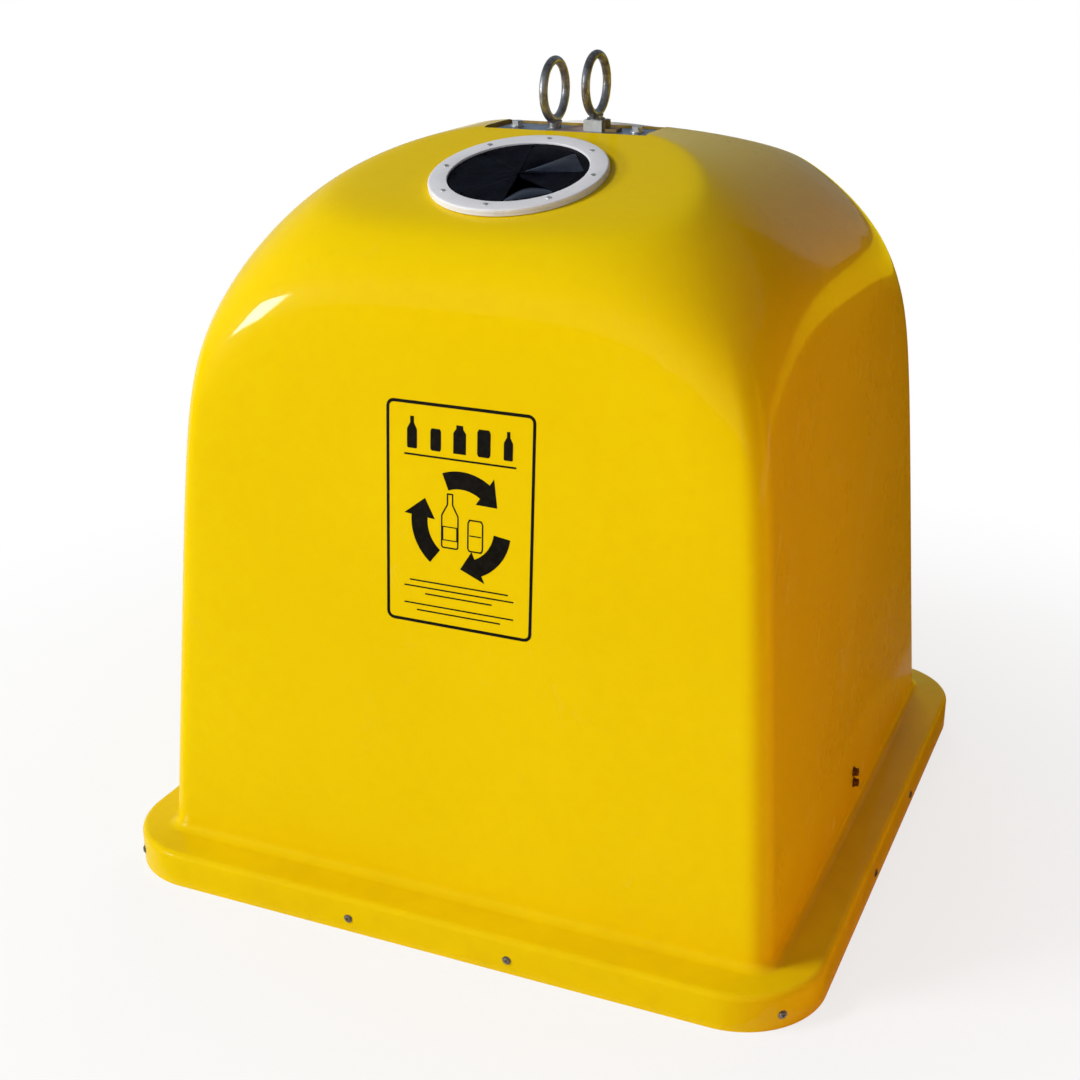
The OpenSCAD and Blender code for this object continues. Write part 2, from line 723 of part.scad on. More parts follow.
module cap_pin() {
    color(bare_steel) translate([-rod_x, 0, cap_top_h + cap_boss_h / 2])
        x_cylinder(cap_pin_d / 2, 2 * cap_boss_r + 4, small_fn);
}

// Doors, mirrored for the rear one

module for_side(side) {
    rotate([0, 0, side < 0 ? 0 : 180]) children();
}

// Outline of a door drawn in by the distance e, on the front side
module door_outline(e) {
    half = door_half - e;
    far = door_reach - e;
    near = door_inner_y + e;
    r = door_corner_r - e;
    translate([-half, -far + r]) square([2 * half, far - r - near]);
    translate([-half + r, -far]) square([2 * (half - r), r + fuse]);
    for (x = [-1, 1]) translate([x * (half - r), -far + r]) circle(r = r, $fn = 64);
}

module door(side) {
    color(zinc) for_side(side) {
        translate([0, 0, door_low_h]) linear_extrude(door_t) door_outline(0);
        translate([0, 0, door_low_h]) linear_extrude(door_rim_h) difference() {
            door_outline(0);
            door_outline(door_t);
        }
    }
}

rib_x = 190;
rib_w = 50;
rib_h = 16;

// Hat sections on top of a door, across its depth
module door_ribs(side) {
    far = door_reach - door_t - 6;
    near = door_inner_y + door_t + 6;
    color(zinc) for_side(side) for (x = [-1, 1])
        translate([x * rib_x, -near, door_top_h]) rotate([90, 0, 0]) linear_extrude(far - near)
            polygon([
                [-rib_w / 2, 0], [-rib_w / 2 + 14, 0], [-rib_w / 2 + 18, rib_h - 2.5],
                [rib_w / 2 - 18, rib_h - 2.5], [rib_w / 2 - 14, 0], [rib_w / 2, 0],
                [rib_w / 2, 2.5], [rib_w / 2 - 12, 2.5], [rib_w / 2 - 16, rib_h],
                [-rib_w / 2 + 16, rib_h], [-rib_w / 2 + 12, 2.5], [-rib_w / 2, 2.5]
            ]);
}

// The arms and horns step over the door's rim and stand on its sheet
over_rim = [
    [door_inner_y - hinge_y + door_t + 1, door_low_h + door_rim_h + 2 - beam_low_h],
    [door_inner_y - hinge_y + door_t + 1, door_top_h - beam_low_h]
];
toe_h = 10;

// Side outline of a door arm, with +X pointing out from the hinge and the pin at the origin
module arm_outline() {
    drop = beam_low_h - door_top_h;
    polygon(concat(
        [[2, -0.9 * arm_hub_r]], over_rim,
        [[arm_reach, -drop], [arm_reach, -drop + toe_h],
         [arm_reach / 3, -drop + 2.2 * toe_h], [arm_hub_r - 2, 0]]
    ));
    circle(r = arm_hub_r, $fn = round_fn);
}

module door_arms(side) {
    color(zinc) for_side(side) for (x = [-1, 1])
        translate([x * hinge_x + arm_t / 2, -hinge_y, beam_low_h]) rotate([0, 0, -90]) rotate([90, 0, 0])
            difference() {
                linear_extrude(arm_t) arm_outline();
                translate([0, 0, -1])
                    cylinder(r = hinge_pin_d / 2 + run_gap, h = arm_t + 2, $fn = round_fn);
            }
}

// Latch horn: a plate that stands on the door and rises past the beam
module horn(side) {
    drop = beam_low_h - door_top_h;
    tip = horn_lift;
    tip_in = horn_inner_y - hinge_y;
    tip_out = horn_outer_y - hinge_y;
    place = side < 0 ? -rod_x : rod_x;
    color(zinc) for_side(side)
        translate([place + arm_t / 2, -hinge_y, beam_low_h]) rotate([0, 0, -90]) rotate([90, 0, 0])
            linear_extrude(arm_t) polygon(concat(
                [[tip_in, 6], [tip_in, tip], [tip_out, tip], [tip_out + 2, 8],
                 [horn_reach / 2, -drop + 2.4 * toe_h], [horn_reach, -drop + toe_h],
                 [horn_reach, -drop]],
                [over_rim[1], over_rim[0]], [[4, -12]]
            ));
}

module hinge_pins(side) {
    grip = arm_t + 2 * hole_gap + 2 * lug_t;
    washer_t = 3;
    color(bare_steel) for (x = [-1, 1]) translate([x * hinge_x, side * hinge_y, beam_low_h]) {
        x_cylinder(hinge_pin_d / 2, grip + 8);
        for (d = [-1, 1])
            translate([d * (grip / 2 + seat_gap + washer_t / 2), 0, 0])
                x_cylinder(hinge_pin_d / 2 + washer_t, washer_t);
    }
}

// Throw-in collars in two rings, the rubber clamped between them, and its flaps

module collar(side) {
    inner_r = throw_open_d / 2;
    outer_r = collar_d / 2;
    clamp_low_h = collar_low_h + rubber_t;
    color(white_plastic) at_throw(side) difference() {
        union() {
            rotate_extrude($fn = 96) polygon([
                [inner_r, seat_gap], [outer_r, seat_gap],
                [outer_r, collar_low_h - seat_gap], [inner_r, collar_low_h - seat_gap]
            ]);
            rotate_extrude($fn = 96) polygon([
                [inner_r, clamp_low_h], [rubber_r + 1, clamp_low_h],
                [rubber_r + 1, collar_low_h], [outer_r, collar_low_h],
                [outer_r, collar_h - 4], [outer_r - 1.2, collar_h - 1.2], [outer_r - 4, collar_h],
                [inner_r + 2, collar_h], [inner_r + 0.6, collar_h - 0.6], [inner_r, collar_h - 2]
            ]);
        }
        for (i = [0 : collar_screw_count - 1])
            rotate([0, 0, i * 360 / collar_screw_count])
                translate([collar_screw_r, 0, -1]) cylinder(r = screw_hole_r, h = 60, $fn = small_fn);
    }
}

module collar_screws(side) {
    grip = collar_h + seat_ring_t;
    color(zinc) at_throw(side) for (i = [0 : collar_screw_count - 1])
        rotate([0, 0, i * 360 / collar_screw_count]) translate([collar_screw_r, 0, 0]) {
            translate([0, 0, -seat_ring_t - 6]) cylinder(d = collar_screw_d, h = grip + 7, $fn = small_fn);
            translate([0, 0, collar_h + 0.1]) rotate_extrude($fn = small_fn)
                polygon([[0, 0], [4.5, 0], [4.2, 1.4], [2.6, 2.4], [0, 2.7]]);
        }
}

// Rubber rim with a straight edge at each flap's root
module rubber_rim(side) {
    corner_r = flap_root / cos(flap_angle / 2);
    color(black_rubber) at_throw(side) translate([0, 0, collar_low_h])
        linear_extrude(rubber_t - seat_gap) difference() {
            circle(r = rubber_r, $fn = 96);
            rotate(slit_phase) circle(r = corner_r, $fn = flap_count);
            for (i = [0 : collar_screw_count - 1])
                rotate(i * 360 / collar_screw_count) translate([collar_screw_r, 0])
                    circle(r = screw_hole_r, $fn = small_fn);
        }
}

// One flap: a wedge from its root to the middle, with its root corners cut back
module flap(side, i) {
    half_root = flap_root * tan(flap_angle / 2);
    root = flap_root - flap_open_gap;
    slit = slit_w / 2 / cos(flap_angle / 2);
    relief = rubber_t + 2;
    color(black_rubber) at_throw(side) translate([0, 0, collar_low_h])
        rotate([0, 0, slit_phase + flap_angle * (i + 0.5)]) linear_extrude(rubber_t - seat_gap) polygon([
            [slit / tan(flap_angle / 2) + 1, 0.5],
            [root - relief, (root - relief) * tan(flap_angle / 2) - slit],
            [root, half_root - relief], [root, -half_root + relief],
            [root - relief, -(root - relief) * tan(flap_angle / 2) + slit],
            [slit / tan(flap_angle / 2) + 1, -0.5]
        ]);
}

shell();
base_frame();
skirt_screws();
centre_beam();
beam_bolts();
beam_nuts();
mast();
crown_plate();
crown_bolts();
mast_cleat();
lifting_eye();
rod_guides();
guide_bushes();
crown_bush();
release_rod();
release_eye();
stop_collar();
latch_cap();
cap_pin();
hinge_pins(-1);  // front_hinge_pins
hinge_pins(1);  // rear_hinge_pins
door(-1);  // front_door
door_ribs(-1);  // front_door_ribs
door_arms(-1);  // front_door_arms
horn(-1);  // front_horn
door(1);  // rear_door
door_ribs(1);  // rear_door_ribs
door_arms(1);  // rear_door_arms
horn(1);  // rear_horn
collar(-1);  // front_collar
rubber_rim(-1);  // front_rubber_rim
collar_screws(-1);  // front_collar_screws
collar(1);  // rear_collar
rubber_rim(1);  // rear_rubber_rim
collar_screws(1);  // rear_collar_screws
flap(-1, 0);  // front_flap_a
flap(-1, 1);  // front_flap_b
flap(-1, 2);  // front_flap_c
flap(-1, 3);  // front_flap_d
flap(-1, 4);  // front_flap_e
flap(-1, 5);  // front_flap_f
flap(-1, 6);  // front_flap_g
flap(-1, 7);  // front_flap_h
flap(1, 0);  // rear_flap_a
flap(1, 1);  // rear_flap_b
flap(1, 2);  // rear_flap_c
flap(1, 3);  // rear_flap_d
flap(1, 4);  // rear_flap_e
flap(1, 5);  // rear_flap_f
flap(1, 6);  // rear_flap_g
flap(1, 7);  // rear_flap_h
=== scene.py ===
import math
import random

import bpy
import numpy as np
from mathutils import Matrix, Vector


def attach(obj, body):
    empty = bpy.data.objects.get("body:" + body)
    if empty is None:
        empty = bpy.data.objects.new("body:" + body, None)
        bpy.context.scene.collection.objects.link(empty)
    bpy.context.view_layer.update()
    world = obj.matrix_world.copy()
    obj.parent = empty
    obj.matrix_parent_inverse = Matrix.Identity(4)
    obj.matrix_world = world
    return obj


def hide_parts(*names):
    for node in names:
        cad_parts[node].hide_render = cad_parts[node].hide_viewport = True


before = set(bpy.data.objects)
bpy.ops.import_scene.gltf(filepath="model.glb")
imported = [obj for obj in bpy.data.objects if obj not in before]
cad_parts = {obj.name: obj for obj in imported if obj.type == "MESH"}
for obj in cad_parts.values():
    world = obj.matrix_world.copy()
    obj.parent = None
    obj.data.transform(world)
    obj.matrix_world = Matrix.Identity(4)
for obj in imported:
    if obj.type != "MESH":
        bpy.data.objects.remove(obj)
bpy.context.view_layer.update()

# Recycling bell with two throw-ins, lifting eyes and bottom doors. Metres, +Z up, the front is -Y.

scene = bpy.context.scene
scene.view_settings.view_transform = "Standard"
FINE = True

# Sizes of the solid model, in metres

BODY_W = 1.140
CROWN_H = 1.295
WALL_T = 0.005
WALL_LEAN = math.radians(4)
EDGE_R = 0.038
DOME_R = 0.850
DOME_BASE_H = 0.126
DOME_SIDE_SHARE = 0.945
DOME_FULLNESS = 3.15
DOME_STEEPNESS = 1.215
DOME_SQUARENESS = 3.95
BLEND_SHARPNESS = 24.0
SKIRT_W = 1.300
SKIRT_H = 0.066
SKIRT_CORNER_R = 0.150
SKIRT_EDGE_R = 0.012
LEDGE_FILLET_R = 0.018
THROW_Y = 0.244
THROW_SEAT_H = 1.236
THROW_TILT = math.radians(15.5)
THROW_OPEN_D = 0.234
COLLAR_D = 0.298
COLLAR_H = 0.012
COLLAR_LOW_H = 0.005
COLLAR_SEAT_GAP = 0.0003
COLLAR_SCREWS = 8
COLLAR_SCREW_REACH = 0.131
RUBBER_T = 0.003
RUBBER_R = 0.141
SEAT_RING_T = 0.012
FLAPS = 8
SLIT_PHASE = math.radians(10)
SLIT_SHOWN = 0.0007
RECESS_W = 0.300
RECESS_D = 0.116
RECESS_FLOOR_H = 1.278
MAST_X = 0.037
MAST_HOLE_W = 0.035
ROD_X = -0.041
BUSH_HOLE_R = 0.0135
CROWN_BOLT_X = 0.113
CROWN_BOLT_HOLE_R = 0.0065
PLATE_TOP_H = 1.284
MAST_TOP_H = 1.303
SKIRT_SCREW_H = 0.026
SKIRT_SCREW_X = 0.150
FOOT_H = SKIRT_H + LEDGE_FILLET_R
SLOPE_RATE = math.tan(THROW_TILT)
SLOPE_CREST_H = THROW_SEAT_H + THROW_Y * SLOPE_RATE

# Camera, fitted to the photograph

UNIT = 0.5701
CAM_AZ, CAM_EL, CAM_ROLL = math.radians(23.75), math.radians(21.33), math.radians(-0.24)
CAM_DIST, CAM_FOCAL_PX, CAM_TX, CAM_TZ = 5.45 * UNIT, 1619.7, -0.1166 * UNIT, 0.9031 * UNIT
SENSOR, PHOTO_PX, CLIP = 36, 1080, (0.05, 100)


def make_camera():
    flat = math.cos(CAM_EL)
    back = Vector((math.sin(CAM_AZ) * flat, -math.cos(CAM_AZ) * flat, math.sin(CAM_EL)))
    level = Vector((math.cos(CAM_AZ), math.sin(CAM_AZ), 0))
    upright = back.cross(level)
    right = level * math.cos(CAM_ROLL) + upright * math.sin(CAM_ROLL)
    up = -level * math.sin(CAM_ROLL) + upright * math.cos(CAM_ROLL)
    camera = bpy.data.cameras.new("camera")
    camera.sensor_width = SENSOR
    camera.lens = CAM_FOCAL_PX / PHOTO_PX * SENSOR
    camera.clip_start, camera.clip_end = CLIP
    holder = bpy.data.objects.new("camera", camera)
    matrix = Matrix((right, up, back)).transposed().to_4x4()
    matrix.translation = Vector((0, 0, CAM_TZ)) + level * CAM_TX + back * CAM_DIST
    holder.matrix_world = matrix
    scene.collection.objects.link(holder)
    scene.camera = holder


make_camera()

# Surface of the shell, as in the solid model


def wall_half(z):
    """Half the width across the leaning walls at a height."""
    return BODY_W / 2 - (z - FOOT_H) * math.tan(WALL_LEAN)


def square_reach(t, h, r):
    """Distance from the middle, at angles t, to a square of half width h with corner radius r."""
    c = np.maximum(np.abs(np.cos(t)), np.abs(np.sin(t)))
    s = np.minimum(np.abs(np.cos(t)), np.abs(np.sin(t)))
    b = (h - r) * (c + s)
    corner = b + np.sqrt(np.maximum(b * b - 2 * (h - r) ** 2 + r * r, 0))
    return np.where(s / c <= (h - r) / h, h / c, corner)


def shell_reach(t, z, e=0.0):
    """Distance from the axis to the shell at angles t and heights z, with the surface moved in by e."""
    k = np.clip((z - DOME_BASE_H) / (CROWN_H - DOME_BASE_H - e), 0, 1)
    dome = (DOME_R - e) * np.maximum(1 - k ** DOME_STEEPNESS, 1e-6) ** (1 / DOME_FULLNESS)
    across, along = np.abs(np.cos(t)) / DOME_SIDE_SHARE, np.abs(np.sin(t))
    plan = (across ** DOME_SQUARENESS + along ** DOME_SQUARENESS) ** (1 / DOME_SQUARENESS)
    slope = np.maximum(SLOPE_CREST_H - e / math.cos(THROW_TILT) - z, 1e-5)
    a = 1 / square_reach(t, wall_half(z) - e, EDGE_R - e)
    b = plan / dome
    c = np.abs(np.sin(t)) * SLOPE_RATE / slope
    m = np.maximum(a, np.maximum(b, c))
    p = BLEND_SHARPNESS
    return 1 / (m * ((a / m) ** p + (b / m) ** p + (c / m) ** p) ** (1 / p))


def front_wall(x, z, out):
    """Point on the front wall at a given place across and up."""
    t = math.atan2(-wall_half(z), x)
    for _ in range(6):
        reach = float(shell_reach(np.array(t), np.array(z)))
        t = -math.acos(max(-1.0, min(1.0, x / reach)))
    return Vector((x, reach * math.sin(t) - out, z))


# Mesh helpers


def mesh_object(name, verts, faces):
    mesh = bpy.data.meshes.new(name)
    mesh.from_pydata([tuple(v) for v in verts], [], [tuple(f) for f in faces])
    mesh.validate()
    piece = bpy.data.objects.new(name, mesh)
    scene.collection.objects.link(piece)
    return piece


def smooth(piece, angle):
    piece.data.shade_smooth()
    piece.data.set_sharp_from_angle(angle=math.radians(angle))
    return piece


CORNER_START, CORNER_END = math.radians(34), math.radians(56)


def ring_angles(side, corner):
    """Angles round a ring, closer together near the corners."""
    flat = np.linspace(0, CORNER_START, side, endpoint=False)
    bend = np.linspace(CORNER_START, CORNER_END, corner, endpoint=False)
    rest = np.linspace(CORNER_END, math.radians(90), side, endpoint=False)
    quarter = np.concatenate([flat, bend, rest])
    return np.concatenate([quarter + q * math.pi / 2 for q in range(4)])


def ring_points(t, reach, z):
    return np.stack([reach * np.cos(t), reach * np.sin(t), np.full_like(t, z)], -1)


def stacked_rings(name, rings, apex_z):
    """Closed solid from a stack of rings, with a flat bottom and an apex."""
    n = len(rings[0])
    verts = np.concatenate(rings + [np.array([[0, 0, apex_z]])])
    faces = []
    for j in range(len(rings) - 1):
        for i in range(n):
            a, b = j * n + i, j * n + (i + 1) % n
            faces.append((a, b, b + n, a + n))
    top = (len(rings) - 1) * n
    faces += [(top + i, top + (i + 1) % n, len(verts) - 1) for i in range(n)]
    faces.append(tuple(range(n - 1, -1, -1)))
    return mesh_object(name, verts, faces)


def block(name, low, high):
    x, y, z = zip(low, high)
    verts = [(x[i], y[j], z[k]) for i in (0, 1) for j in (0, 1) for k in (0, 1)]
    faces = [(0, 1, 3, 2), (4, 6, 7, 5), (0, 4, 5, 1), (2, 3, 7, 6), (0, 2, 6, 4), (1, 5, 7, 3)]
    return mesh_object(name, verts, faces)


def throw_matrix(side):
    """Place of a throw-in's seat: the front one at side -1, the rear one at side 1."""
    turn = Matrix.Rotation(0 if side < 0 else math.pi, 4, "Z")
    return turn @ Matrix.Translation((0, -THROW_Y, THROW_SEAT_H)) @ Matrix.Rotation(THROW_TILT, 4, "X")


def tube(name, r, z0, z1, n, matrix):
    t = np.linspace(0, 2 * math.pi, n, endpoint=False)
    low = [matrix @ Vector((r * math.cos(a), r * math.sin(a), z0)) for a in t]
    high = [matrix @ Vector((r * math.cos(a), r * math.sin(a), z1)) for a in t]
    faces = [(i, (i + 1) % n, (i + 1) % n + n, i + n) for i in range(n)]
    faces += [tuple(range(n - 1, -1, -1)), tuple(range(n, 2 * n))]
    return mesh_object(name, low + high, faces)


def cut(piece, tool):
    """Takes a closed form out of a piece, and the form out of the scene."""
    modifier = piece.modifiers.new("cut", "BOOLEAN")
    modifier.object, modifier.operation, modifier.solver = tool, "DIFFERENCE", "MANIFOLD"
    bpy.context.view_layer.update()
    evaluated = piece.evaluated_get(bpy.context.evaluated_depsgraph_get())
    mesh = bpy.data.meshes.new_from_object(evaluated)
    piece.modifiers.clear()
    old = piece.data
    piece.data = mesh
    bpy.data.meshes.remove(old)
    bpy.data.objects.remove(tool)


class Parts:
    """Gathers closed forms into one mesh."""

    def __init__(self):
        self.verts, self.faces = [], []

    def add(self, verts, faces, matrix=Matrix.Identity(4)):
        base = len(self.verts)
        self.verts += [matrix @ Vector(v) for v in verts]
        self.faces += [tuple(base + i for i in f) for f in faces]

    def ring(self, profile, n, matrix=Matrix.Identity(4), radius=None):
        """Closed form turned about +Z from a profile of (r, z) that ends where it starts, or on the axis.
        Each row of the profile may name a function of the angle that scales its radius."""
        open_ends = [abs(profile[0][0]) < 1e-9, abs(profile[-1][0]) < 1e-9]
        body = [p for p in profile if abs(p[0]) > 1e-9]
        verts, faces = [], []
        for row, p in enumerate(body):
            for i in range(n):
                a = 2 * math.pi * i / n
                r = p[0] * (radius(a, row) if radius else 1)
                verts.append((r * math.cos(a), r * math.sin(a), p[1]))
        for j in range(len(body) - (1 if any(open_ends) else 0)):
            k = (j + 1) % len(body)
            for i in range(n):
                m = (i + 1) % n
                faces.append((j * n + i, j * n + m, k * n + m, k * n + i))
        if open_ends[0]:
            verts.append((0, 0, profile[0][1]))
            faces += [(len(verts) - 1, (i + 1) % n, i) for i in range(n)]
        if open_ends[1]:
            last = (len(body) - 1) * n
            verts.append((0, 0, profile[-1][1]))
            faces += [(len(verts) - 1, last + i, last + (i + 1) % n) for i in range(n)]
        self.add(verts, faces, matrix)

    def build(self, name, angle=35):
        return smooth(mesh_object(name, self.verts, self.faces), angle)


def rod(r, low, high):
    """Profile of a plain round, or of a nut where only six points go round it."""
    return [(0, low), (r, low), (r, high), (0, high)]


def rounded(corners, steps):
    """Outline with its corners rounded: each corner is (x, y, radius)."""
    points, n = [], len(corners)
    for i, (x, y, r) in enumerate(corners):
        here = Vector((x, y))
        if r <= 0:
            points.append((x, y))
            continue
        before = (Vector(corners[i - 1][:2]) - here).normalized()
        after = (Vector(corners[(i + 1) % n][:2]) - here).normalized()
        half = before.angle(after) / 2
        reach = r / math.tan(half)
        centre = here + (before + after).normalized() * (r / math.sin(half))
        start, end = here + before * reach - centre, here + after * reach - centre
        turn = math.atan2(start.x * end.y - start.y * end.x, start.dot(end))
        for s in range(steps + 1):
            a = turn * s / steps
            points.append((centre.x + start.x * math.cos(a) - start.y * math.sin(a),
                           centre.y + start.x * math.sin(a) + start.y * math.cos(a)))
    return points


def dress(piece, body, material, slot, *nodes):
    """Gives a new piece its finish and its body, and hides the solids that it stands for."""
    piece.data.materials.clear()
    piece.data.materials.append(material)
    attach(piece, body)
    if nodes:
        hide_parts(*nodes)
    return piece

# Materials


class Nodes:
    """Shorthand for building the nodes of a material, or of the world."""

    def __init__(self, owner):
        owner.use_nodes = True
        self.owner = owner
        self.tree = owner.node_tree
        self.shader = self.tree.nodes.get("Principled BSDF")

    def add(self, kind, **settings):
        node = self.tree.nodes.new(kind)
        for key, value in settings.items():
            setattr(node, key, value)
        return node

    def link(self, a, b):
        self.tree.links.new(a, b)

    def fixed(self, **values):
        """Sets inputs of the main shader to constants."""
        for key, value in values.items():
            self.shader.inputs[key.replace("_", " ").title().replace("Ior", "IOR")].default_value = value

    def place(self, scale=(1, 1, 1), turn=(0, 0, 0)):
        """Object coordinates, turned and then stretched."""
        vector = self.add("ShaderNodeTexCoord").outputs["Object"]
        if any(turn):
            rotate = self.add("ShaderNodeMapping")
            rotate.inputs["Rotation"].default_value = turn
            self.link(vector, rotate.inputs["Vector"])
            vector = rotate.outputs["Vector"]
        mapping = self.add("ShaderNodeMapping")
        mapping.inputs["Scale"].default_value = scale
        self.link(vector, mapping.inputs["Vector"])
        return mapping.outputs["Vector"]

    def split(self, vector):
        node = self.add("ShaderNodeSeparateXYZ")
        self.link(vector, node.inputs[0])
        return node.outputs

    def normal(self):
        return self.split(self.add("ShaderNodeNewGeometry").outputs["Normal"])

    def noise(self, scale, detail=4, rough=0.55, stretch=(1, 1, 1), turn=(0, 0, 0)):
        node = self.add("ShaderNodeTexNoise")
        for key, value in (("Scale", scale), ("Detail", detail), ("Roughness", rough)):
            node.inputs[key].default_value = value
        self.link(self.place(stretch, turn), node.inputs["Vector"])
        return node.outputs["Fac"]

    def cells(self, scale):
        node = self.add("ShaderNodeTexVoronoi")
        node.inputs["Scale"].default_value = scale
        self.link(self.place(), node.inputs["Vector"])
        return node.outputs

    def spread(self, value, low, high, to_low=0.0, to_high=1.0):
        """Maps low to high onto another range and clamps it there."""
        node = self.add("ShaderNodeMapRange")
        for key, number in (("From Min", low), ("From Max", high), ("To Min", to_low), ("To Max", to_high)):
            node.inputs[key].default_value = number
        self.link(value, node.inputs["Value"])
        return node.outputs["Result"]

    def patchy(self, scale, low, high):
        """Value that wanders between two limits."""
        return self.spread(self.noise(scale), 0.3, 0.7, low, high)

    def feed(self, value, socket):
        """Sets an input to a number or a colour, or links it."""
        if isinstance(value, (int, float)):
            socket.default_value = value
        elif isinstance(value, tuple):
            socket.default_value = value + (1,)
        else:
            self.link(value, socket)

    def math(self, operation, *values):
        node = self.add("ShaderNodeMath", operation=operation)
        for socket, value in zip(node.inputs, values):
            self.feed(value, socket)
        return node.outputs[0]

    def blend(self, factor, a, b):
        node = self.add("ShaderNodeMix", data_type="RGBA")
        for name, kind, value in (("Factor", "VALUE", factor), ("A", "RGBA", a), ("B", "RGBA", b)):
            self.feed(value, next(k for k in node.inputs if k.name == name and k.type == kind))
        return next(k for k in node.outputs if k.type == "RGBA")

    def bump(self, height, distance, strength, under=None):
        """Bump from a height, on top of another one where that is given."""
        node = self.add("ShaderNodeBump")
        node.inputs["Distance"].default_value = distance
        node.inputs["Strength"].default_value = strength
        self.link(height, node.inputs["Height"])
        if under is not None:
            self.link(under, node.inputs["Normal"])
        return node.outputs["Normal"]

    def finish(self, colour, roughness, normal, metallic=None):
        inputs = {"Base Color": colour, "Roughness": roughness, "Normal": normal, "Metallic": metallic}
        for key, value in inputs.items():
            if value is not None:
                self.link(value, self.shader.inputs[key])
        return self.owner


def new_material(name):
    return Nodes(bpy.data.materials.new(name))


def scratches(m, turn, fineness, width):
    """Long thin lines: where a noise that is stretched along one direction passes its middle value."""
    lines = m.noise(fineness, 1, 0.5, (1, 1, 0.03), turn)
    off = m.math("ABSOLUTE", m.math("SUBTRACT", lines, 0.5))
    thin = m.spread(off, 0.2 * width, width, 1.0, 0.0)
    return m.math("MULTIPLY", thin, m.spread(m.noise(5, 2, 0.5, (1, 1, 0.22), turn), 0.56, 0.66))


def gelcoat():
    """Yellow skin: uneven tone, scratches mostly on the sides, a dirty skirt, painted shade and grime
    darkening the crown recess, and small pits.
    """
    m = new_material("gelcoat")
    x, y, z = m.split(m.place())
    tone = m.blend(m.spread(m.noise(1.3, 2), 0.35, 0.65), (0.825, 0.576, 0.0005), (0.865, 0.618, 0.001))
    tone = m.blend(m.spread(m.noise(38, 3), 0.4, 0.8, 0.0, 0.16), tone, (0.78, 0.47, 0.0005))
    marks = m.math("MAXIMUM", scratches(m, (0.55, 0.1, 0.2), 26, 0.012),
                   scratches(m, (0.35, 0.5, -0.3), 34, 0.010))
    side = m.spread(m.math("ABSOLUTE", m.normal()[0]), 0.75, 0.95)
    marks = m.math("MULTIPLY", marks, m.math("MAXIMUM", side, 0.1))
    tone = m.blend(m.math("MULTIPLY", marks, 0.6), tone, (0.95, 0.80, 0.16))
    foot = m.spread(z, FOOT_H + 0.012, SKIRT_H - 0.002)
    grime = m.math("MULTIPLY", foot, m.spread(m.noise(7, 3, 0.55), 0.4, 0.7, 0.05, 0.30))
    tone = m.blend(grime, tone, (0.60, 0.36, 0.004))
    # Painted shade and grime: inside the crown recess the yellow turns to a dark brown.
    recess_shade_and_grime = [m.spread(m.math("ABSOLUTE", way), size / 2 + 0.0002, size / 2 + 0.0008, 1.0, 0.0)
              for way, size in ((x, RECESS_W), (y, RECESS_D))]
    recess_shade_and_grime = m.math("MULTIPLY", *recess_shade_and_grime)
    recess_shade_and_grime = m.math("MULTIPLY", recess_shade_and_grime, m.spread(m.noise(40, 4), 0.3, 0.6, 0.55, 0.9))
    tone = m.blend(recess_shade_and_grime, tone, (0.30, 0.20, 0.09))
    pits = m.spread(m.cells(160)["Distance"], 0.05, 0.09, 1.0, 0.0)
    pits = m.math("MULTIPLY", pits, m.spread(m.noise(11, 2), 0.63, 0.7))
    tone = m.blend(m.math("MULTIPLY", pits, 0.35), tone, (0.50, 0.30, 0.01))
    rough = m.spread(m.noise(5, 5), 0.3, 0.75, 0.24, 0.36)
    rough = m.math("ADD", rough, m.math("MULTIPLY", marks, 0.25))
    wave = m.bump(m.noise(4.5, 2, 0.4), 0.0022, 0.5)
    peel = m.bump(m.noise(120, 2), 0.00006, 0.35, wave)
    fine = m.bump(pits, 0.0002, 0.3, peel)
    m.fixed(specular_ior_level=0.02, coat_weight=0.30, coat_roughness=0.06, coat_ior=1.45)
    return m.finish(tone, rough, fine)


def laminate():
    """Raw inner face of the shell: resin over woven glass."""
    m = new_material("laminate")
    tone = m.blend(m.spread(m.noise(3, 4), 0.3, 0.7), (0.60, 0.44, 0.09), (0.70, 0.53, 0.16))
    weave = m.math("MULTIPLY", m.noise(300, 2, 0.5, (1, 1, 0.08)), m.noise(300, 2, 0.5, (0.08, 0.08, 1)))
    tone = m.blend(m.spread(weave, 0.2, 0.36, 0.0, 0.5), tone, (0.78, 0.66, 0.32))
    m.fixed(specular_ior_level=0.4)
    rough = m.patchy(12, 0.45, 0.7)
    return m.finish(tone, rough, m.bump(weave, 0.0015, 0.7, m.bump(m.noise(14), 0.003, 0.4)))


def galvanised(name, dark, light, metallic, rust):
    """Zinc with its grain, dull patches and some rust."""
    m = new_material(name)
    grey = m.add("ShaderNodeSeparateColor")
    m.link(m.cells(75)["Color"], grey.inputs[0])
    tone = m.blend(m.spread(grey.outputs[0], 0, 1, 0.1, 0.9), dark, light)
    tone = m.blend(m.spread(m.noise(14, 5, 0.65), 0.52, 0.72, 0.0, 0.35), tone, tuple(0.6 * c for c in dark))
    stain = m.spread(m.noise(23, 6, 0.7), 0.62, 0.72, 0.0, rust * 4)
    tone = m.blend(stain, tone, (0.20, 0.09, 0.035))
    rough = m.patchy(25, 0.30, 0.46)
    rough = m.math("ADD", rough, m.math("MULTIPLY", grey.outputs[0], 0.1))
    metal = m.math("SUBTRACT", metallic, m.math("MULTIPLY", stain, 0.6))
    normal = m.bump(m.noise(190, 3), 0.0004, 0.4, m.bump(m.noise(17, 3), 0.0012, 0.25))
    return m.finish(tone, rough, normal, metal)


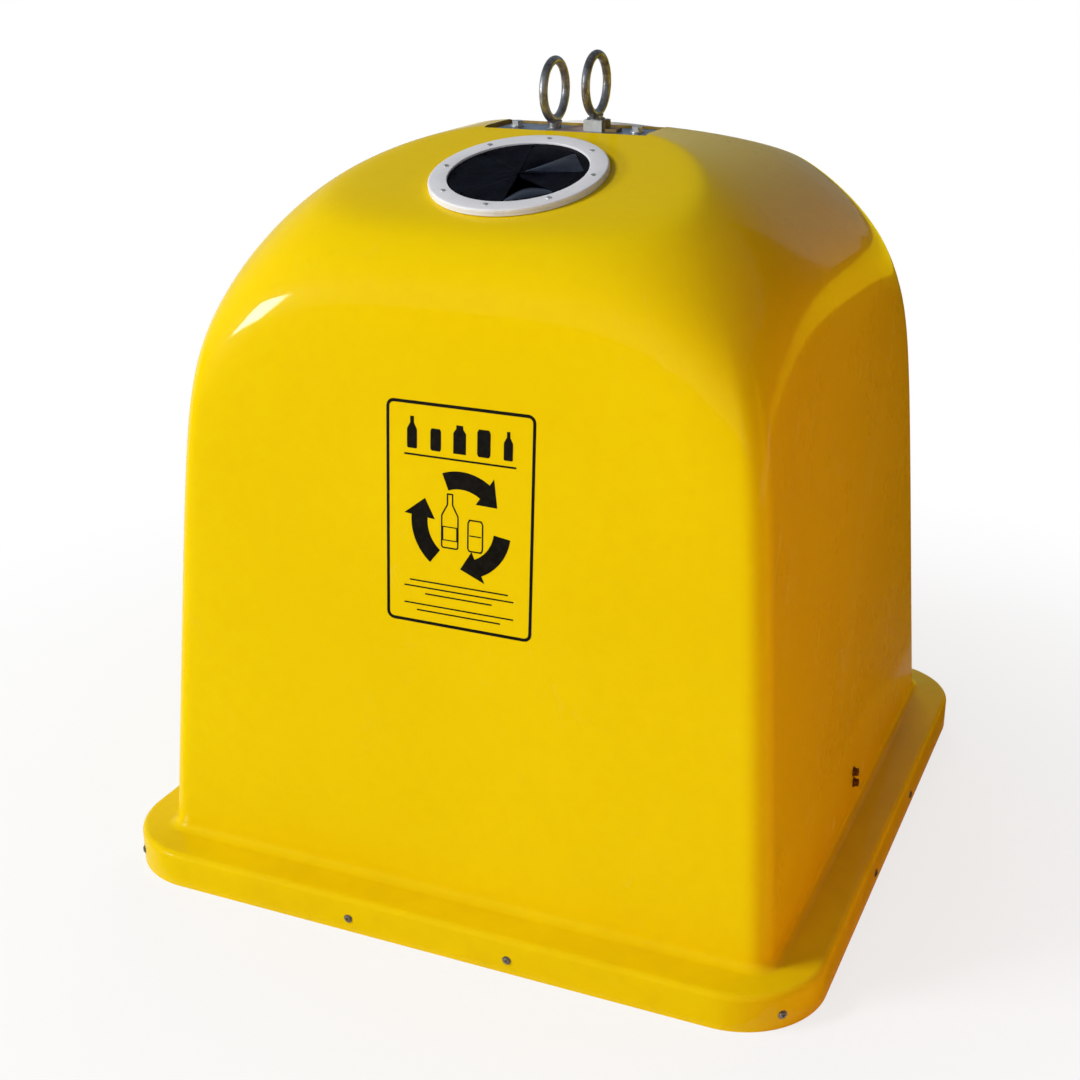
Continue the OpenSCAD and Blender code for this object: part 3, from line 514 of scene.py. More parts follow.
def bare_steel():
    m = new_material("bare_steel")
    tone = m.blend(m.spread(m.noise(42, 5, 0.65), 0.36, 0.64), (0.16, 0.16, 0.165), (0.50, 0.50, 0.51))
    tone = m.blend(m.spread(m.noise(90, 3), 0.6, 0.75, 0.0, 0.5), tone, (0.62, 0.62, 0.62))
    tone = m.blend(m.spread(m.noise(19, 4), 0.6, 0.75, 0.0, 0.4), tone, (0.22, 0.12, 0.06))
    m.fixed(metallic=0.82)
    rough = m.patchy(60, 0.26, 0.48)
    return m.finish(tone, rough, m.bump(m.noise(150, 4, 0.6), 0.0011, 0.5))


def white_plastic():
    m = new_material("white_plastic")
    tone = m.blend(m.spread(m.noise(7, 4), 0.35, 0.7), (0.84, 0.84, 0.87), (0.77, 0.77, 0.81))
    specks = m.spread(m.cells(210)["Distance"], 0.04, 0.09, 1.0, 0.0)
    specks = m.math("MULTIPLY", specks, m.spread(m.noise(31, 2), 0.55, 0.65))
    tone = m.blend(m.math("MULTIPLY", specks, 0.55), tone, (0.36, 0.33, 0.30))
    film = m.spread(m.noise(24, 5, 0.7, (1, 1, 0.4)), 0.5, 0.75, 0.0, 0.3)
    tone = m.blend(film, tone, (0.55, 0.54, 0.54))
    m.fixed(specular_ior_level=0.45)
    rough = m.patchy(20, 0.30, 0.5)
    return m.finish(tone, rough, m.bump(m.noise(260, 3), 0.00025, 0.4, m.bump(m.noise(16), 0.0008, 0.3)))


def black_rubber(name, dark, light, film, gloss):
    """Dusty rubber; film is the colour of the dust, and the paler copy's colours also paint a sheen of sky.
    """
    m = new_material(name)
    tone = m.blend(m.spread(m.noise(30, 4), 0.4, 0.7), dark, light)
    dust = m.spread(m.noise(260, 4, 0.75), 0.56, 0.72)
    dust = m.math("MULTIPLY", dust, m.spread(m.noise(16, 3), 0.38, 0.66, 0.1, 0.6))
    tone = m.blend(dust, tone, film)
    m.fixed(specular_ior_level=gloss)
    rough = m.patchy(22, 0.26, 0.42)
    rough = m.math("ADD", rough, m.math("MULTIPLY", dust, 0.35))
    return m.finish(tone, rough, m.bump(m.noise(420, 3), 0.0004, 0.5, m.bump(m.noise(24, 2), 0.0025, 0.35)))


def brown_primer():
    m = new_material("brown_primer")
    tone = m.blend(m.spread(m.noise(70, 4), 0.35, 0.7), (0.20, 0.13, 0.045), (0.33, 0.225, 0.085))
    tone = m.blend(m.spread(m.noise(35, 4), 0.6, 0.72), tone, (0.14, 0.07, 0.035))
    rough = m.patchy(40, 0.5, 0.7)
    return m.finish(tone, rough, m.bump(m.noise(260, 4), 0.0005, 0.5))


def crown_steel():
    """Steel sheet, coloured blue-grey as painted shade and sky reflection, with brown primer left showing
    between the two eyes.
    """
    m = new_material("crown_steel")
    x = m.split(m.place())["X"]
    # Painted shade and sky reflection: the steel's blue-grey tones stand in for a shaded plate that reflects
    # the sky.
    steel = m.blend(m.spread(m.noise(33, 5, 0.6), 0.35, 0.68), (0.10, 0.135, 0.21), (0.235, 0.29, 0.385))
    steel = m.blend(m.spread(m.noise(110, 4, 0.7), 0.58, 0.72, 0.0, 0.5), steel, (0.42, 0.44, 0.47))
    middle = m.math("ABSOLUTE", m.math("ADD", x, m.spread(m.noise(45, 4), 0.3, 0.7, -0.008, 0.008)))
    primer = m.spread(middle, 0.026, 0.034, 1.0, 0.0)
    brown = m.blend(m.spread(m.noise(60, 4), 0.35, 0.7), (0.36, 0.235, 0.20), (0.47, 0.325, 0.28))
    tone = m.blend(primer, steel, brown)
    metal = m.math("SUBTRACT", 0.75, m.math("MULTIPLY", primer, 0.75))
    rough = m.patchy(30, 0.26, 0.42)
    rough = m.math("ADD", rough, m.math("MULTIPLY", primer, 0.25))
    return m.finish(tone, rough, m.bump(m.noise(150, 4), 0.0005, 0.4), metal)


def weathered_bolt():
    m = new_material("weathered_bolt")
    tone = m.blend(m.spread(m.noise(120, 5, 0.65), 0.38, 0.66), (0.10, 0.035, 0.008), (0.26, 0.12, 0.035))
    tone = m.blend(m.spread(m.noise(60, 3), 0.6, 0.72), tone, (0.40, 0.33, 0.26))
    m.fixed(metallic=0.35)
    rough = m.patchy(50, 0.45, 0.7)
    return m.finish(tone, rough, m.bump(m.noise(240, 4), 0.0007, 0.6))


def print_black():
    m = new_material("print_black")
    tone = m.blend(m.spread(m.noise(120, 4), 0.4, 0.7), (0.004, 0.0035, 0.003), (0.010, 0.009, 0.007))
    tone = m.blend(m.spread(m.noise(420, 3, 0.7), 0.68, 0.76, 0.0, 0.4), tone, (0.30, 0.20, 0.02))
    m.fixed(specular_ior_level=0.12)
    rough = m.patchy(25, 0.35, 0.5)
    return m.finish(tone, rough, m.bump(m.noise(300), 0.0001, 0.4))


def nylon():
    m = new_material("nylon")
    tone = m.blend(m.spread(m.noise(40, 4), 0.35, 0.7), (0.80, 0.79, 0.73), (0.66, 0.64, 0.58))
    m.fixed(specular_ior_level=0.4)
    rough = m.patchy(40, 0.4, 0.55)
    return m.finish(tone, rough, m.bump(m.noise(300), 0.0002, 0.4))


YELLOW, INSIDE, STEEL = gelcoat(), laminate(), bare_steel()
ZINC = galvanised("galvanised", (0.40, 0.42, 0.44), (0.60, 0.62, 0.64), 0.9, 0.12)
PALE_ZINC = galvanised("pale_zinc", (0.62, 0.65, 0.63), (0.80, 0.83, 0.81), 0.35, 0.03)
BRIGHT_ZINC = galvanised("bright_zinc", (0.62, 0.63, 0.64), (0.84, 0.85, 0.86), 0.7, 0.04)
DULL_ZINC = galvanised("dull_zinc", (0.16, 0.15, 0.14), (0.34, 0.33, 0.31), 0.6, 0.3)
WHITE, BROWN, SKY_SHADE_STEEL = white_plastic(), brown_primer(), crown_steel()
RUBBER = black_rubber("black_rubber", (0.0020, 0.0020, 0.0040), (0.005, 0.0055, 0.010),
                      (0.055, 0.060, 0.085), 0.02)
# Painted sheen: this paler, bluer copy stands for worn rubber that also shows a reflection of sky.
WORN_RUBBER_WITH_SHEEN = black_rubber("worn_rubber_with_sheen", (0.009, 0.011, 0.021), (0.020, 0.024, 0.042),
                           (0.14, 0.16, 0.20), 0.30)
OLD_BOLT, PRINT, NYLON = weathered_bolt(), print_black(), nylon()

SPECIAL_FINISH = {
    "shell": YELLOW, "mast": PALE_ZINC, "crown_plate": SKY_SHADE_STEEL, "crown_bolts": BRIGHT_ZINC,
    "beam_bolts": OLD_BOLT, "mast_cleat": BROWN, "crown_bush": NYLON, "guide_bushes": NYLON,
    "front_collar": WHITE, "rear_collar": WHITE,
    "lifting_eye": STEEL, "release_eye": STEEL, "release_rod": STEEL, "cap_pin": STEEL,
}


def finish_of(name):
    """Finish of a solid by its name: zinc, unless it is one of the others."""
    if name in SPECIAL_FINISH:
        return SPECIAL_FINISH[name]
    if "flap" in name or "rubber" in name:
        return RUBBER
    return STEEL if "pins" in name else ZINC


for name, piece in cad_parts.items():
    piece.data.materials.clear()
    piece.data.materials.append(finish_of(name))

# Shell, with a distance that counts as touching and the clearances and depths of what is cut from it

NEAR = 1e-4
ABOVE_ALL = 1.4
SEAT_CLEARANCE, SEAT_CUT_TOP = 0.002, 0.1
THROW_CLEARANCE, THROW_CUT = 0.003, 0.06
FLOOR_CUT = 0.02


def fillet_ring(t, a):
    """Ring of the fillet between the ledge and the walls, at an angle round the fillet."""
    z = SKIRT_H + LEDGE_FILLET_R * (1 - math.cos(a))
    out = LEDGE_FILLET_R * (1 - math.sin(a))
    return ring_points(t, shell_reach(t, FOOT_H) + out * square_reach(t, 1, 0.5), z)


def outer_solid(t, steps):
    """Outside of the shell from the skirt's foot to the crown, as a closed form."""
    rings = [ring_points(t, square_reach(t, SKIRT_W / 2, SKIRT_CORNER_R), 0)]
    for a in np.radians(np.linspace(0, 90, 9)):
        inset = SKIRT_EDGE_R * (1 - math.cos(a))
        z = SKIRT_H - SKIRT_EDGE_R * (1 - math.sin(a))
        rings.append(ring_points(t, square_reach(t, SKIRT_W / 2 - inset, SKIRT_CORNER_R - inset), z))
    for a in np.radians(np.linspace(0, 90, 9)):
        rings.append(fillet_ring(t, a))
    for z in np.linspace(FOOT_H, DOME_BASE_H, 5)[1:-1]:
        rings.append(ring_points(t, shell_reach(t, z), z))
    for a in np.radians(np.linspace(0, 89.7, steps)):
        z = DOME_BASE_H + (CROWN_H - DOME_BASE_H) * math.sin(a)
        rings.append(ring_points(t, shell_reach(t, z), z))
    return stacked_rings("shell_skin", rings, CROWN_H)


def inner_solid(t, steps):
    """Room inside the shell, as a closed form that reaches below its foot."""
    e = WALL_T
    inner = SKIRT_W / 2 - e
    rings = [
        ring_points(t, square_reach(t, inner, SKIRT_CORNER_R - e), -0.01),
        ring_points(t, square_reach(t, inner, SKIRT_CORNER_R - e), SKIRT_H - e),
        ring_points(t, shell_reach(t, SKIRT_H - e, e), SKIRT_H - e),
    ]
    for a in np.radians(np.linspace(0, 89.5, steps)):
        z = DOME_BASE_H + (CROWN_H - e - DOME_BASE_H) * math.sin(a)
        rings.append(ring_points(t, shell_reach(t, z, e), z))
    return stacked_rings("shell_inside", rings, CROWN_H - e)


def mark_inside(piece):
    """Gives the second finish to the faces that lie behind the shell's outer surface."""
    mesh = piece.data
    mesh.materials.clear()
    mesh.materials.append(YELLOW)
    mesh.materials.append(INSIDE)
    middles = np.zeros(len(mesh.polygons) * 3)
    mesh.polygons.foreach_get("center", middles)
    x, y, z = middles.reshape(-1, 3).T
    t, r = np.arctan2(y, x), np.hypot(x, y)
    depth = WALL_T / 2
    upper = r < shell_reach(t, np.clip(z, FOOT_H, CROWN_H - depth - NEAR), depth)
    lower = r < square_reach(t, SKIRT_W / 2 - depth, SKIRT_CORNER_R)
    lower &= (z < SKIRT_H - WALL_T + 2 * NEAR) & (z > 10 * NEAR)
    recess = (np.abs(x) < RECESS_W / 2 + NEAR) & (np.abs(y) < RECESS_D / 2 + NEAR)
    recess &= z > RECESS_FLOOR_H - NEAR
    inside = np.where(z > SKIRT_H - depth, upper, lower) & ~recess
    mesh.polygons.foreach_set("material_index", inside.astype(np.int32))


def make_shell():
    t = ring_angles(34, 44) if FINE else ring_angles(16, 20)
    shell = outer_solid(t, 190 if FINE else 90)
    inside = inner_solid(ring_angles(12, 12), 60)
    half_x, half_y = RECESS_W / 2, RECESS_D / 2
    tray_x, tray_y = half_x + WALL_T, half_y + WALL_T
    cut(inside, block("tray", (-tray_x, -tray_y, RECESS_FLOOR_H - WALL_T), (tray_x, tray_y, ABOVE_ALL)))
    for side in (-1, 1):
        seat_r = COLLAR_D / 2 + SEAT_CLEARANCE
        cut(inside, tube("seat", seat_r, -SEAT_RING_T, SEAT_CUT_TOP, 64, throw_matrix(side)))
    cut(shell, inside)
    cut(shell, block("recess", (-half_x, -half_y, RECESS_FLOOR_H), (half_x, half_y, ABOVE_ALL)))
    for side in (-1, 1):
        hole_r = THROW_OPEN_D / 2 + THROW_CLEARANCE
        cut(shell, tube("hole", hole_r, -THROW_CUT, THROW_CUT, 64, throw_matrix(side)))
    low, high = RECESS_FLOOR_H - FLOOR_CUT, RECESS_FLOOR_H + FLOOR_CUT
    half = MAST_HOLE_W / 2
    cut(shell, block("mast_hole", (MAST_X - half, -half, low), (MAST_X + half, half, high)))
    cut(shell, tube("bush_hole", BUSH_HOLE_R, low, high, 32, Matrix.Translation((ROD_X, 0, 0))))
    for x in (-CROWN_BOLT_X, CROWN_BOLT_X):
        cut(shell, tube("bolt_hole", CROWN_BOLT_HOLE_R, low, high, 24, Matrix.Translation((x, 0, 0))))
    smooth(shell, 35)
    mark_inside(shell)
    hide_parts("shell")
    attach(shell, "bell")
    shell.name = "shell_dressed"


make_shell()

# Throw-in collars, their screws and the slit rubber

# Screw heads: radius, height, socket radius and depth
COLLAR_HEAD = (0.0044, 0.0018, 0.0016, 0.0014)
SKIRT_HEAD = (0.0056, 0.0023, 0.0026, 0.0019)
COLLAR_SHANK_R, COLLAR_SHANK_PAST = 0.0025, 0.006
THIN_GAP = 0.0003


def screw_head(parts, matrix, r, h, socket_r, socket_depth):
    """Low domed head with a hexagon socket."""
    profile = [(0, 0), (r, 0), (r, 0.3 * h), (0.9 * r, 0.7 * h), (0.62 * r, 0.95 * h),
               (socket_r, h), (socket_r, h - socket_depth), (0, h - socket_depth * 1.2)]
    sixth = math.pi / 3

    def hexagon(a, row):
        if row < 4:
            return 1
        return math.cos(sixth / 2) / math.cos((a + sixth / 2) % sixth - sixth / 2)

    parts.ring(profile, 24, matrix, hexagon)


def make_collar(side, name):
    """Two rings that hold the rubber between them, each profile with its edges rounded, and the screws."""
    inner, outer = THROW_OPEN_D / 2, COLLAR_D / 2
    step, low = RUBBER_R + 0.001, COLLAR_SEAT_GAP
    seam, rubber_top = COLLAR_LOW_H - THIN_GAP, COLLAR_LOW_H + RUBBER_T
    carrier = [(inner, low, 0.0005), (outer, low, 0.0006), (outer, seam, 0.0006), (inner, seam, 0.0005)]
    clamp = [(inner, rubber_top, 0.0004), (step, rubber_top, 0), (step, COLLAR_LOW_H, 0),
             (outer, COLLAR_LOW_H, 0.0006), (outer, COLLAR_H, 0.0036), (inner, COLLAR_H, 0.0016)]
    parts = Parts()
    for profile in (carrier, clamp):
        parts.ring(rounded(profile, 5), 144 if FINE else 72, throw_matrix(side))
    collar = parts.build(f"{name}_collar_ring", 50)
    dress(collar, "bell", WHITE, "white_plastic", f"{name}_collar")
    screws = Parts()
    for i in range(COLLAR_SCREWS):
        turn = Matrix.Rotation(2 * math.pi * i / COLLAR_SCREWS, 4, "Z")
        place = throw_matrix(side) @ turn @ Matrix.Translation((COLLAR_SCREW_REACH, 0, 0))
        spin = Matrix.Rotation(1.7 * i, 4, "Z")
        screw_head(screws, place @ Matrix.Translation((0, 0, COLLAR_H)) @ spin, *COLLAR_HEAD)
        screws.ring(rod(COLLAR_SHANK_R, -SEAT_RING_T - COLLAR_SHANK_PAST, COLLAR_H), 16, place)
    heads = screws.build(f"{name}_collar_screw_heads")
    dress(heads, "bell", BRIGHT_ZINC, "galvanised", f"{name}_collar_screws")


FLAP_LETTERS = "abcdefgh"
# How each front flap lies, from a to h: tip drop, drop towards its left edge, and curl, in metres
FLAP_LIES = (
    (0.001, -0.004, 0.003), (-0.004, 0.002, 0.001), (-0.001, 0.000, -0.001), (-0.001, 0.000, 0.000),
    (-0.001, 0.000, 0.000), (-0.002, -0.001, 0.001), (-0.034, 0.007, 0.004), (-0.003, 0.002, -0.001),
)
REAR_LIE, REAR_SHIFT = 0.5, 3
SAG_POWER, LEAN_SHARE = 1.7, 0.6
FLAP_INSET, FLAP_ROOT_GAP, FLAP_TIP_R = 0.006, 0.0004, 0.0028
FLAP_MIN_HALF = 0.0004
RELIEF, RELIEF_ROWS = 0.004, 1.2


def flap_grid(lie, wedge, rows, columns):
    """Points of a flap's under side and then of its top, row by row from its root to its tip."""
    drop, lean, curl = lie
    root = THROW_OPEN_D / 2 * math.cos(wedge / 2) - FLAP_INSET - FLAP_ROOT_GAP
    grid = []
    for layer in (COLLAR_LOW_H, COLLAR_LOW_H + RUBBER_T - THIN_GAP):
        for i in range(rows + 1):
            u = i / rows
            along = root + (FLAP_TIP_R - root) * u
            half = along * math.tan(wedge / 2) - SLIT_SHOWN / 2 / math.cos(wedge / 2)
            relief = max(0.0, 1 - u * rows / RELIEF_ROWS) * RELIEF
            for j in range(columns + 1):
                v = 2 * j / columns - 1
                across = v * max(half - relief, FLAP_MIN_HALF)
                sag = drop * u ** SAG_POWER + lean * v * u * LEAN_SHARE
                sag += curl * math.sin(math.pi * u) * (1 - v * v)
                grid.append(Vector((along, across, layer + sag)))
    return grid


def sheet_faces(rows, columns):
    """Faces of a closed sheet of two layers of points and the edge between them."""
    n = columns + 1
    layer_n = (rows + 1) * n
    faces = []
    for i in range(rows):
        for j in range(columns):
            a = i * n + j
            faces.append((a, a + n, a + n + 1, a + 1))
            faces.append(tuple(layer_n + k for k in (a, a + 1, a + n + 1, a + n)))
    edge = [*range(n)] + [i * n + columns for i in range(1, rows + 1)]
    edge += [rows * n + j for j in range(columns - 1, -1, -1)] + [i * n for i in range(rows - 1, 0, -1)]
    for a, b in zip(edge, edge[1:] + edge[:1]):
        faces.append((a, b, b + layer_n, a + layer_n))
    return faces


def make_flap(side, name, letter, index):
    """Rubber wedge between two slits; the rear ones lie flatter and are shifted round."""
    wedge = 2 * math.pi / FLAPS
    lie = FLAP_LIES[index] if side < 0 else [REAR_LIE * v for v in FLAP_LIES[index - REAR_SHIFT]]
    rows, columns = (22, 12) if FINE else (10, 6)
    turn = Matrix.Rotation(SLIT_PHASE + wedge * (index + 0.5), 4, "Z")
    parts = Parts()
    parts.add(flap_grid(lie, wedge, rows, columns), sheet_faces(rows, columns), throw_matrix(side) @ turn)
    sheet = parts.build(f"{name}_flap_{letter}_sheet", 40)
    # Front flaps a and g take the copy whose paler colour paints a sheen of sky on worn rubber.
    rubber = WORN_RUBBER_WITH_SHEEN if side < 0 and letter in "ag" else RUBBER
    dress(sheet, f"{name}_flap_{letter}_leaf", rubber, "black_rubber", f"{name}_flap_{letter}")


for side, side_name in ((-1, "front"), (1, "rear")):
    make_collar(side, side_name)
    for index, letter in enumerate(FLAP_LETTERS):
        make_flap(side, side_name, letter, index)

# Skirt screws

WASHER_R, WASHER_LOW, WASHER_TOP = 0.0078, 0.0001, 0.0011
SKIRT_SHANK_R, SKIRT_SHANK_LOW, SKIRT_SHANK_TOP = 0.003, -0.0178, 0.001
SKIRT_NUT_R, SKIRT_NUT_LOW, SKIRT_NUT_TOP = 0.0054, -0.0154, -0.0100


def make_skirt_screws():
    """Two screws on each side of the skirt and one on each corner, with washers and nuts."""
    parts = Parts()
    corner = math.sqrt(2) * (SKIRT_W / 2 - SKIRT_CORNER_R) + SKIRT_CORNER_R
    outward = Matrix.Rotation(math.pi / 2, 4, "X")
    for q in range(4):
        quarter = Matrix.Rotation(q * math.pi / 2, 4, "Z")
        spots = [quarter @ Matrix.Translation((x, -SKIRT_W / 2, SKIRT_SCREW_H))
                 for x in (-SKIRT_SCREW_X, SKIRT_SCREW_X)]
        to_corner = quarter @ Matrix.Rotation(math.pi / 4, 4, "Z")
        spots.append(to_corner @ Matrix.Translation((0, -corner, SKIRT_SCREW_H)))
        for k, spot in enumerate(spots):
            place = spot @ outward @ Matrix.Rotation(q + 0.6 * k, 4, "Z")
            parts.ring(rod(WASHER_R, WASHER_LOW, WASHER_TOP), 24, place)
            screw_head(parts, place @ Matrix.Translation((0, 0, WASHER_TOP)), *SKIRT_HEAD)
            parts.ring(rod(SKIRT_SHANK_R, SKIRT_SHANK_LOW, SKIRT_SHANK_TOP), 16, place)
            parts.ring(rod(SKIRT_NUT_R, SKIRT_NUT_LOW, SKIRT_NUT_TOP), 6, place)
    dress(parts.build("skirt_screw_heads"), "bell", DULL_ZINC, "galvanised", "skirt_screws")


make_skirt_screws()

# Weld beads where the eyes meet their necks

BEAD_POINTS = 64


def weld_bead(parts, x, z, reach, size, seed):
    """Lumpy ring of weld round the axis at x."""
    draw = random.Random(seed)
    lumps = [draw.uniform(0.93, 1.07) for _ in range(BEAD_POINTS)]
    angles = np.linspace(0, 2 * math.pi, 10, endpoint=False)
    profile = [(reach + size * math.cos(a), z + size * 0.8 * math.sin(a)) for a in angles]
    parts.ring(profile, BEAD_POINTS, Matrix.Translation((x, 0, 0)),
               lambda a, row: lumps[int(a / (2 * math.pi) * BEAD_POINTS + 0.5) % BEAD_POINTS])


def make_welds():
    """Two beads on the lifting eye's neck and one on the release eye's."""
    fixed, moving = Parts(), Parts()
    weld_bead(fixed, MAST_X, z=MAST_TOP_H + 0.0012, reach=0.0128, size=0.0026, seed=3)
    weld_bead(fixed, MAST_X, z=MAST_TOP_H + 0.0078, reach=0.0098, size=0.0024, seed=5)
    dress(fixed.build("lifting_eye_weld", 60), "bell", STEEL, "bare_steel")
    weld_bead(moving, ROD_X, z=PLATE_TOP_H + 0.0125, reach=0.0100, size=0.0026, seed=8)
    dress(moving.build("release_eye_weld", 60), "release", STEEL, "bare_steel")


make_welds()

# Printed sign on the front wall: a border, plain pictograms and rules, with no words

SIGN_X, SIGN_Z, SIGN_W, SIGN_H = 0.0175, 0.739, 0.260, 0.370
INK_OUT, INK_IN = 0.00035, 0.0002
ARROW_MIDDLE = (0.003, -0.008)
ARROW_STEPS = 14
LINE_W, BORDER_W, RULE_R = 0.0024, 0.0052, 0.0008


class Sign:
    """Films of ink on the front wall, placed across and up from the sign's middle."""

    def __init__(self):
        self.parts = Parts()

    def place(self, u, v, out):
        return front_wall(SIGN_X + u, SIGN_Z + v, out)

    def prism(self, outline):
        """Thin film with a closed outline, given anticlockwise."""
        n = len(outline)
        verts = [self.place(u, v, out) for out in (INK_OUT, -INK_IN) for u, v in outline]
        faces = [tuple(range(n)), tuple(range(2 * n - 1, n - 1, -1))]
        faces += [(i, i + n, (i + 1) % n + n, (i + 1) % n) for i in range(n)]
        self.parts.add(verts, faces)

    def band(self, outer, inner):
        """Thin film between two outlines with as many points each."""
        n = len(outer)
        verts = []
        for out in (INK_OUT, -INK_IN):
            verts += [self.place(u, v, out) for u, v in outer + inner]
        faces = []
        for i in range(n):
            k = (i + 1) % n
            faces += [(i, k, n + k, n + i), (2 * n + i, 3 * n + i, 3 * n + k, 2 * n + k),
                      (i, 2 * n + i, 2 * n + k, k), (n + i, n + k, 3 * n + k, 3 * n + i)]
        self.parts.add(verts, faces)

    def outline(self, corners, width):
        """Line of a given width along a closed figure of rounded corners, given anticlockwise."""
        outer = rounded(corners, 4)
        n = len(outer)
        inner = []
        for i in range(n):
            before = (Vector(outer[i]) - Vector(outer[i - 1])).normalized()
            after = (Vector(outer[(i + 1) % n]) - Vector(outer[i])).normalized()
            way = (before + after).normalized()
            side = Vector((-way.y, way.x))
            lean = max(0.35, before.dot(way))
            inner.append(tuple(Vector(outer[i]) + side * width / lean))
        self.band(outer, inner)

    def box(self, u, v, w, h, r, width=None):
        """Filled box with rounded corners, or a line round it where a width is given."""
        corners = [(u + a * w / 2, v + b * h / 2, r) for a, b in ((-1, -1), (1, -1), (1, 1), (-1, 1))]
        if width:
            self.outline(corners, width)
        else:
            self.prism(rounded(corners, 4))

    def arrow(self, start, end, inner, outer):
        """Block arrow bent clockwise round the middle of the sign, from and to an angle in degrees."""
        def spot(reach, angle):
            a = math.radians(angle)
            return ARROW_MIDDLE[0] + reach * math.cos(a), ARROW_MIDDLE[1] + reach * math.sin(a)

        mid, head = (inner + outer) / 2, (outer - inner) * 0.95
        body_end = end + math.degrees(head * 0.9 / mid)
        points = [spot(outer, a) for a in np.linspace(start, body_end, ARROW_STEPS)]
        points += [spot(mid + head, body_end), spot(mid, end - 6), spot(mid - head, body_end)]
        points += [spot(inner, a) for a in np.linspace(body_end, start, ARROW_STEPS)]
        self.prism(points[::-1])


# Right sides of the figures, from the foot up: across, up and corner radius, as shares of the height
BOTTLE = ((0.17, 0, 0.05), (0.17, 0.60, 0.10), (0.062, 0.80, 0.04), (0.062, 1, 0.012))
CAN = ((0.20, 0, 0.01), (0.26, 0.09, 0.03), (0.26, 0.89, 0.05), (0.20, 1, 0.01))
CARTON = ((0.24, 0, 0.01), (0.24, 0.72, 0.02), (0.13, 0.88, 0.01), (0.13, 1, 0.01))


def figure(side, u, v, s):
    """Corners of a figure that stands at (u, v), s high, alike on both sides."""
    right = [(u + x * s, v + z * s, r * s) for x, z, r in side]
    left = [(u - x * s, v + z * s, r * s) for x, z, r in reversed(side)]
    return left[-1:] + right + left[:-1]


def make_sign():
    """Border, a row of figures, three arrows round a bottle and a can, and rules where words would be."""
    sign = Sign()
    sign.box(0, 0, SIGN_W, SIGN_H, 0.013, BORDER_W)
    row = ((BOTTLE, 0.052), (CAN, 0.036), (CARTON, 0.046), (CAN, 0.044), (BOTTLE, 0.046))
    for k, (side, s) in enumerate(row):
        sign.prism(rounded(figure(side, -0.084 + 0.042 * k, 0.108, s), 3))
    sign.box(0, 0.098, 0.196, 0.0030, RULE_R)
    for start in (112, -8, -128):
        sign.arrow(start, start - 76, 0.059, 0.088)
    sign.outline(figure(BOTTLE, -0.016, -0.050, 0.092), LINE_W)
    sign.box(-0.016, -0.025, 0.0265, 0.024, 0.001, 0.0017)
    sign.outline(figure(CAN, 0.029, -0.050, 0.054), LINE_W)
    sign.box(0.029, -0.023, 0.021, 0.0019, 0.0005)
    for top, widths in ((-0.112, (0.176, 0.196, 0.120)), (-0.152, (0.196, 0.150))):
        for k, width in enumerate(widths):
            sign.box(0, top - 0.0105 * k, width, LINE_W, RULE_R)
    dress(sign.parts.build("front_sign_print", 30), "bell", PRINT, "black_rubber")


make_sign()

# Floor, world and lamps

FLOOR_HALF, FLOOR_T = 40, 0.02
WORLD_LIGHT = 0.135
SKY_LOW, SKY_HIGH, SKY_TINT = 0.48, 0.16, (0.62, 0.80, 1)


def make_floor():
    """Pale floor that turns white with distance: soon for cameras, further off for gloss."""
    floor = block("floor", (-FLOOR_HALF, -FLOOR_HALF, -FLOOR_T), (FLOOR_HALF, FLOOR_HALF, 0))
    m = new_material("floor")
    speckle = m.blend(m.spread(m.noise(3, 3), 0.3, 0.7), (0.86, 0.86, 0.855), (0.88, 0.88, 0.88))
    m.link(speckle, m.shader.inputs["Base Color"])
    m.fixed(roughness=0.9, specular_ior_level=0.1)
    length = m.add("ShaderNodeVectorMath", operation="LENGTH")
    m.link(m.place(), length.inputs[0])
    away = length.outputs["Value"]
    path = m.add("ShaderNodeLightPath").outputs
    seen = m.math("MAXIMUM", path["Is Camera Ray"], path["Is Transmission Ray"])
    near = m.math("MULTIPLY", seen, m.spread(away, 0.8, 2.0, 0.76, 1.0))
    mirrored = m.math("MULTIPLY", path["Is Glossy Ray"], m.spread(away, 1.5, 9.0))
    white = m.add("ShaderNodeEmission")
    white.inputs["Color"].default_value = (1, 1, 1, 1)
    mix = m.add("ShaderNodeMixShader")
    m.link(m.math("MAXIMUM", near, mirrored), mix.inputs[0])
    m.link(m.shader.outputs[0], mix.inputs[1])
    m.link(white.outputs[0], mix.inputs[2])
    m.link(mix.outputs[0], m.tree.nodes["Material Output"].inputs["Surface"])
    floor.data.materials.append(m.owner)


def make_world():
    """Plain light from all round. Cameras see white, gloss a dim blue sky that is darker overhead."""
    scene.world = bpy.data.worlds.new("world")
    w = Nodes(scene.world)
    path = w.add("ShaderNodeLightPath").outputs
    seen = w.math("MAXIMUM", path["Is Camera Ray"], path["Is Transmission Ray"])
    plain = w.spread(seen, 0, 1, WORLD_LIGHT, 1)
    up = w.split(w.add("ShaderNodeTexCoord").outputs["Generated"])["Z"]
    sky = w.spread(w.spread(up, 0.30, 0.62), 0, 1, SKY_LOW, SKY_HIGH)
    sky = w.math("MULTIPLY", sky, path["Is Glossy Ray"])
    background = w.tree.nodes["Background"]
    w.link(w.math("MAXIMUM", plain, sky), background.inputs["Strength"])
    w.link(w.blend(path["Is Glossy Ray"], (1, 1, 1), SKY_TINT), background.inputs["Color"])


def lamp(name, place, target, size, power, colour=(1, 1, 1), shine=True):
    light = bpy.data.lights.new(name, "AREA")
    light.shape = "RECTANGLE"
    light.size, light.size_y = size
    light.energy = power
    light.color = colour
    holder = bpy.data.objects.new(name, light)
    holder.location = place
    holder.rotation_mode = "QUATERNION"
    holder.rotation_quaternion = (Vector(target) - Vector(place)).to_track_quat("-Z", "Y")
    holder.visible_glossy = shine
    scene.collection.objects.link(holder)


TREELINE_FOOT = 1.03


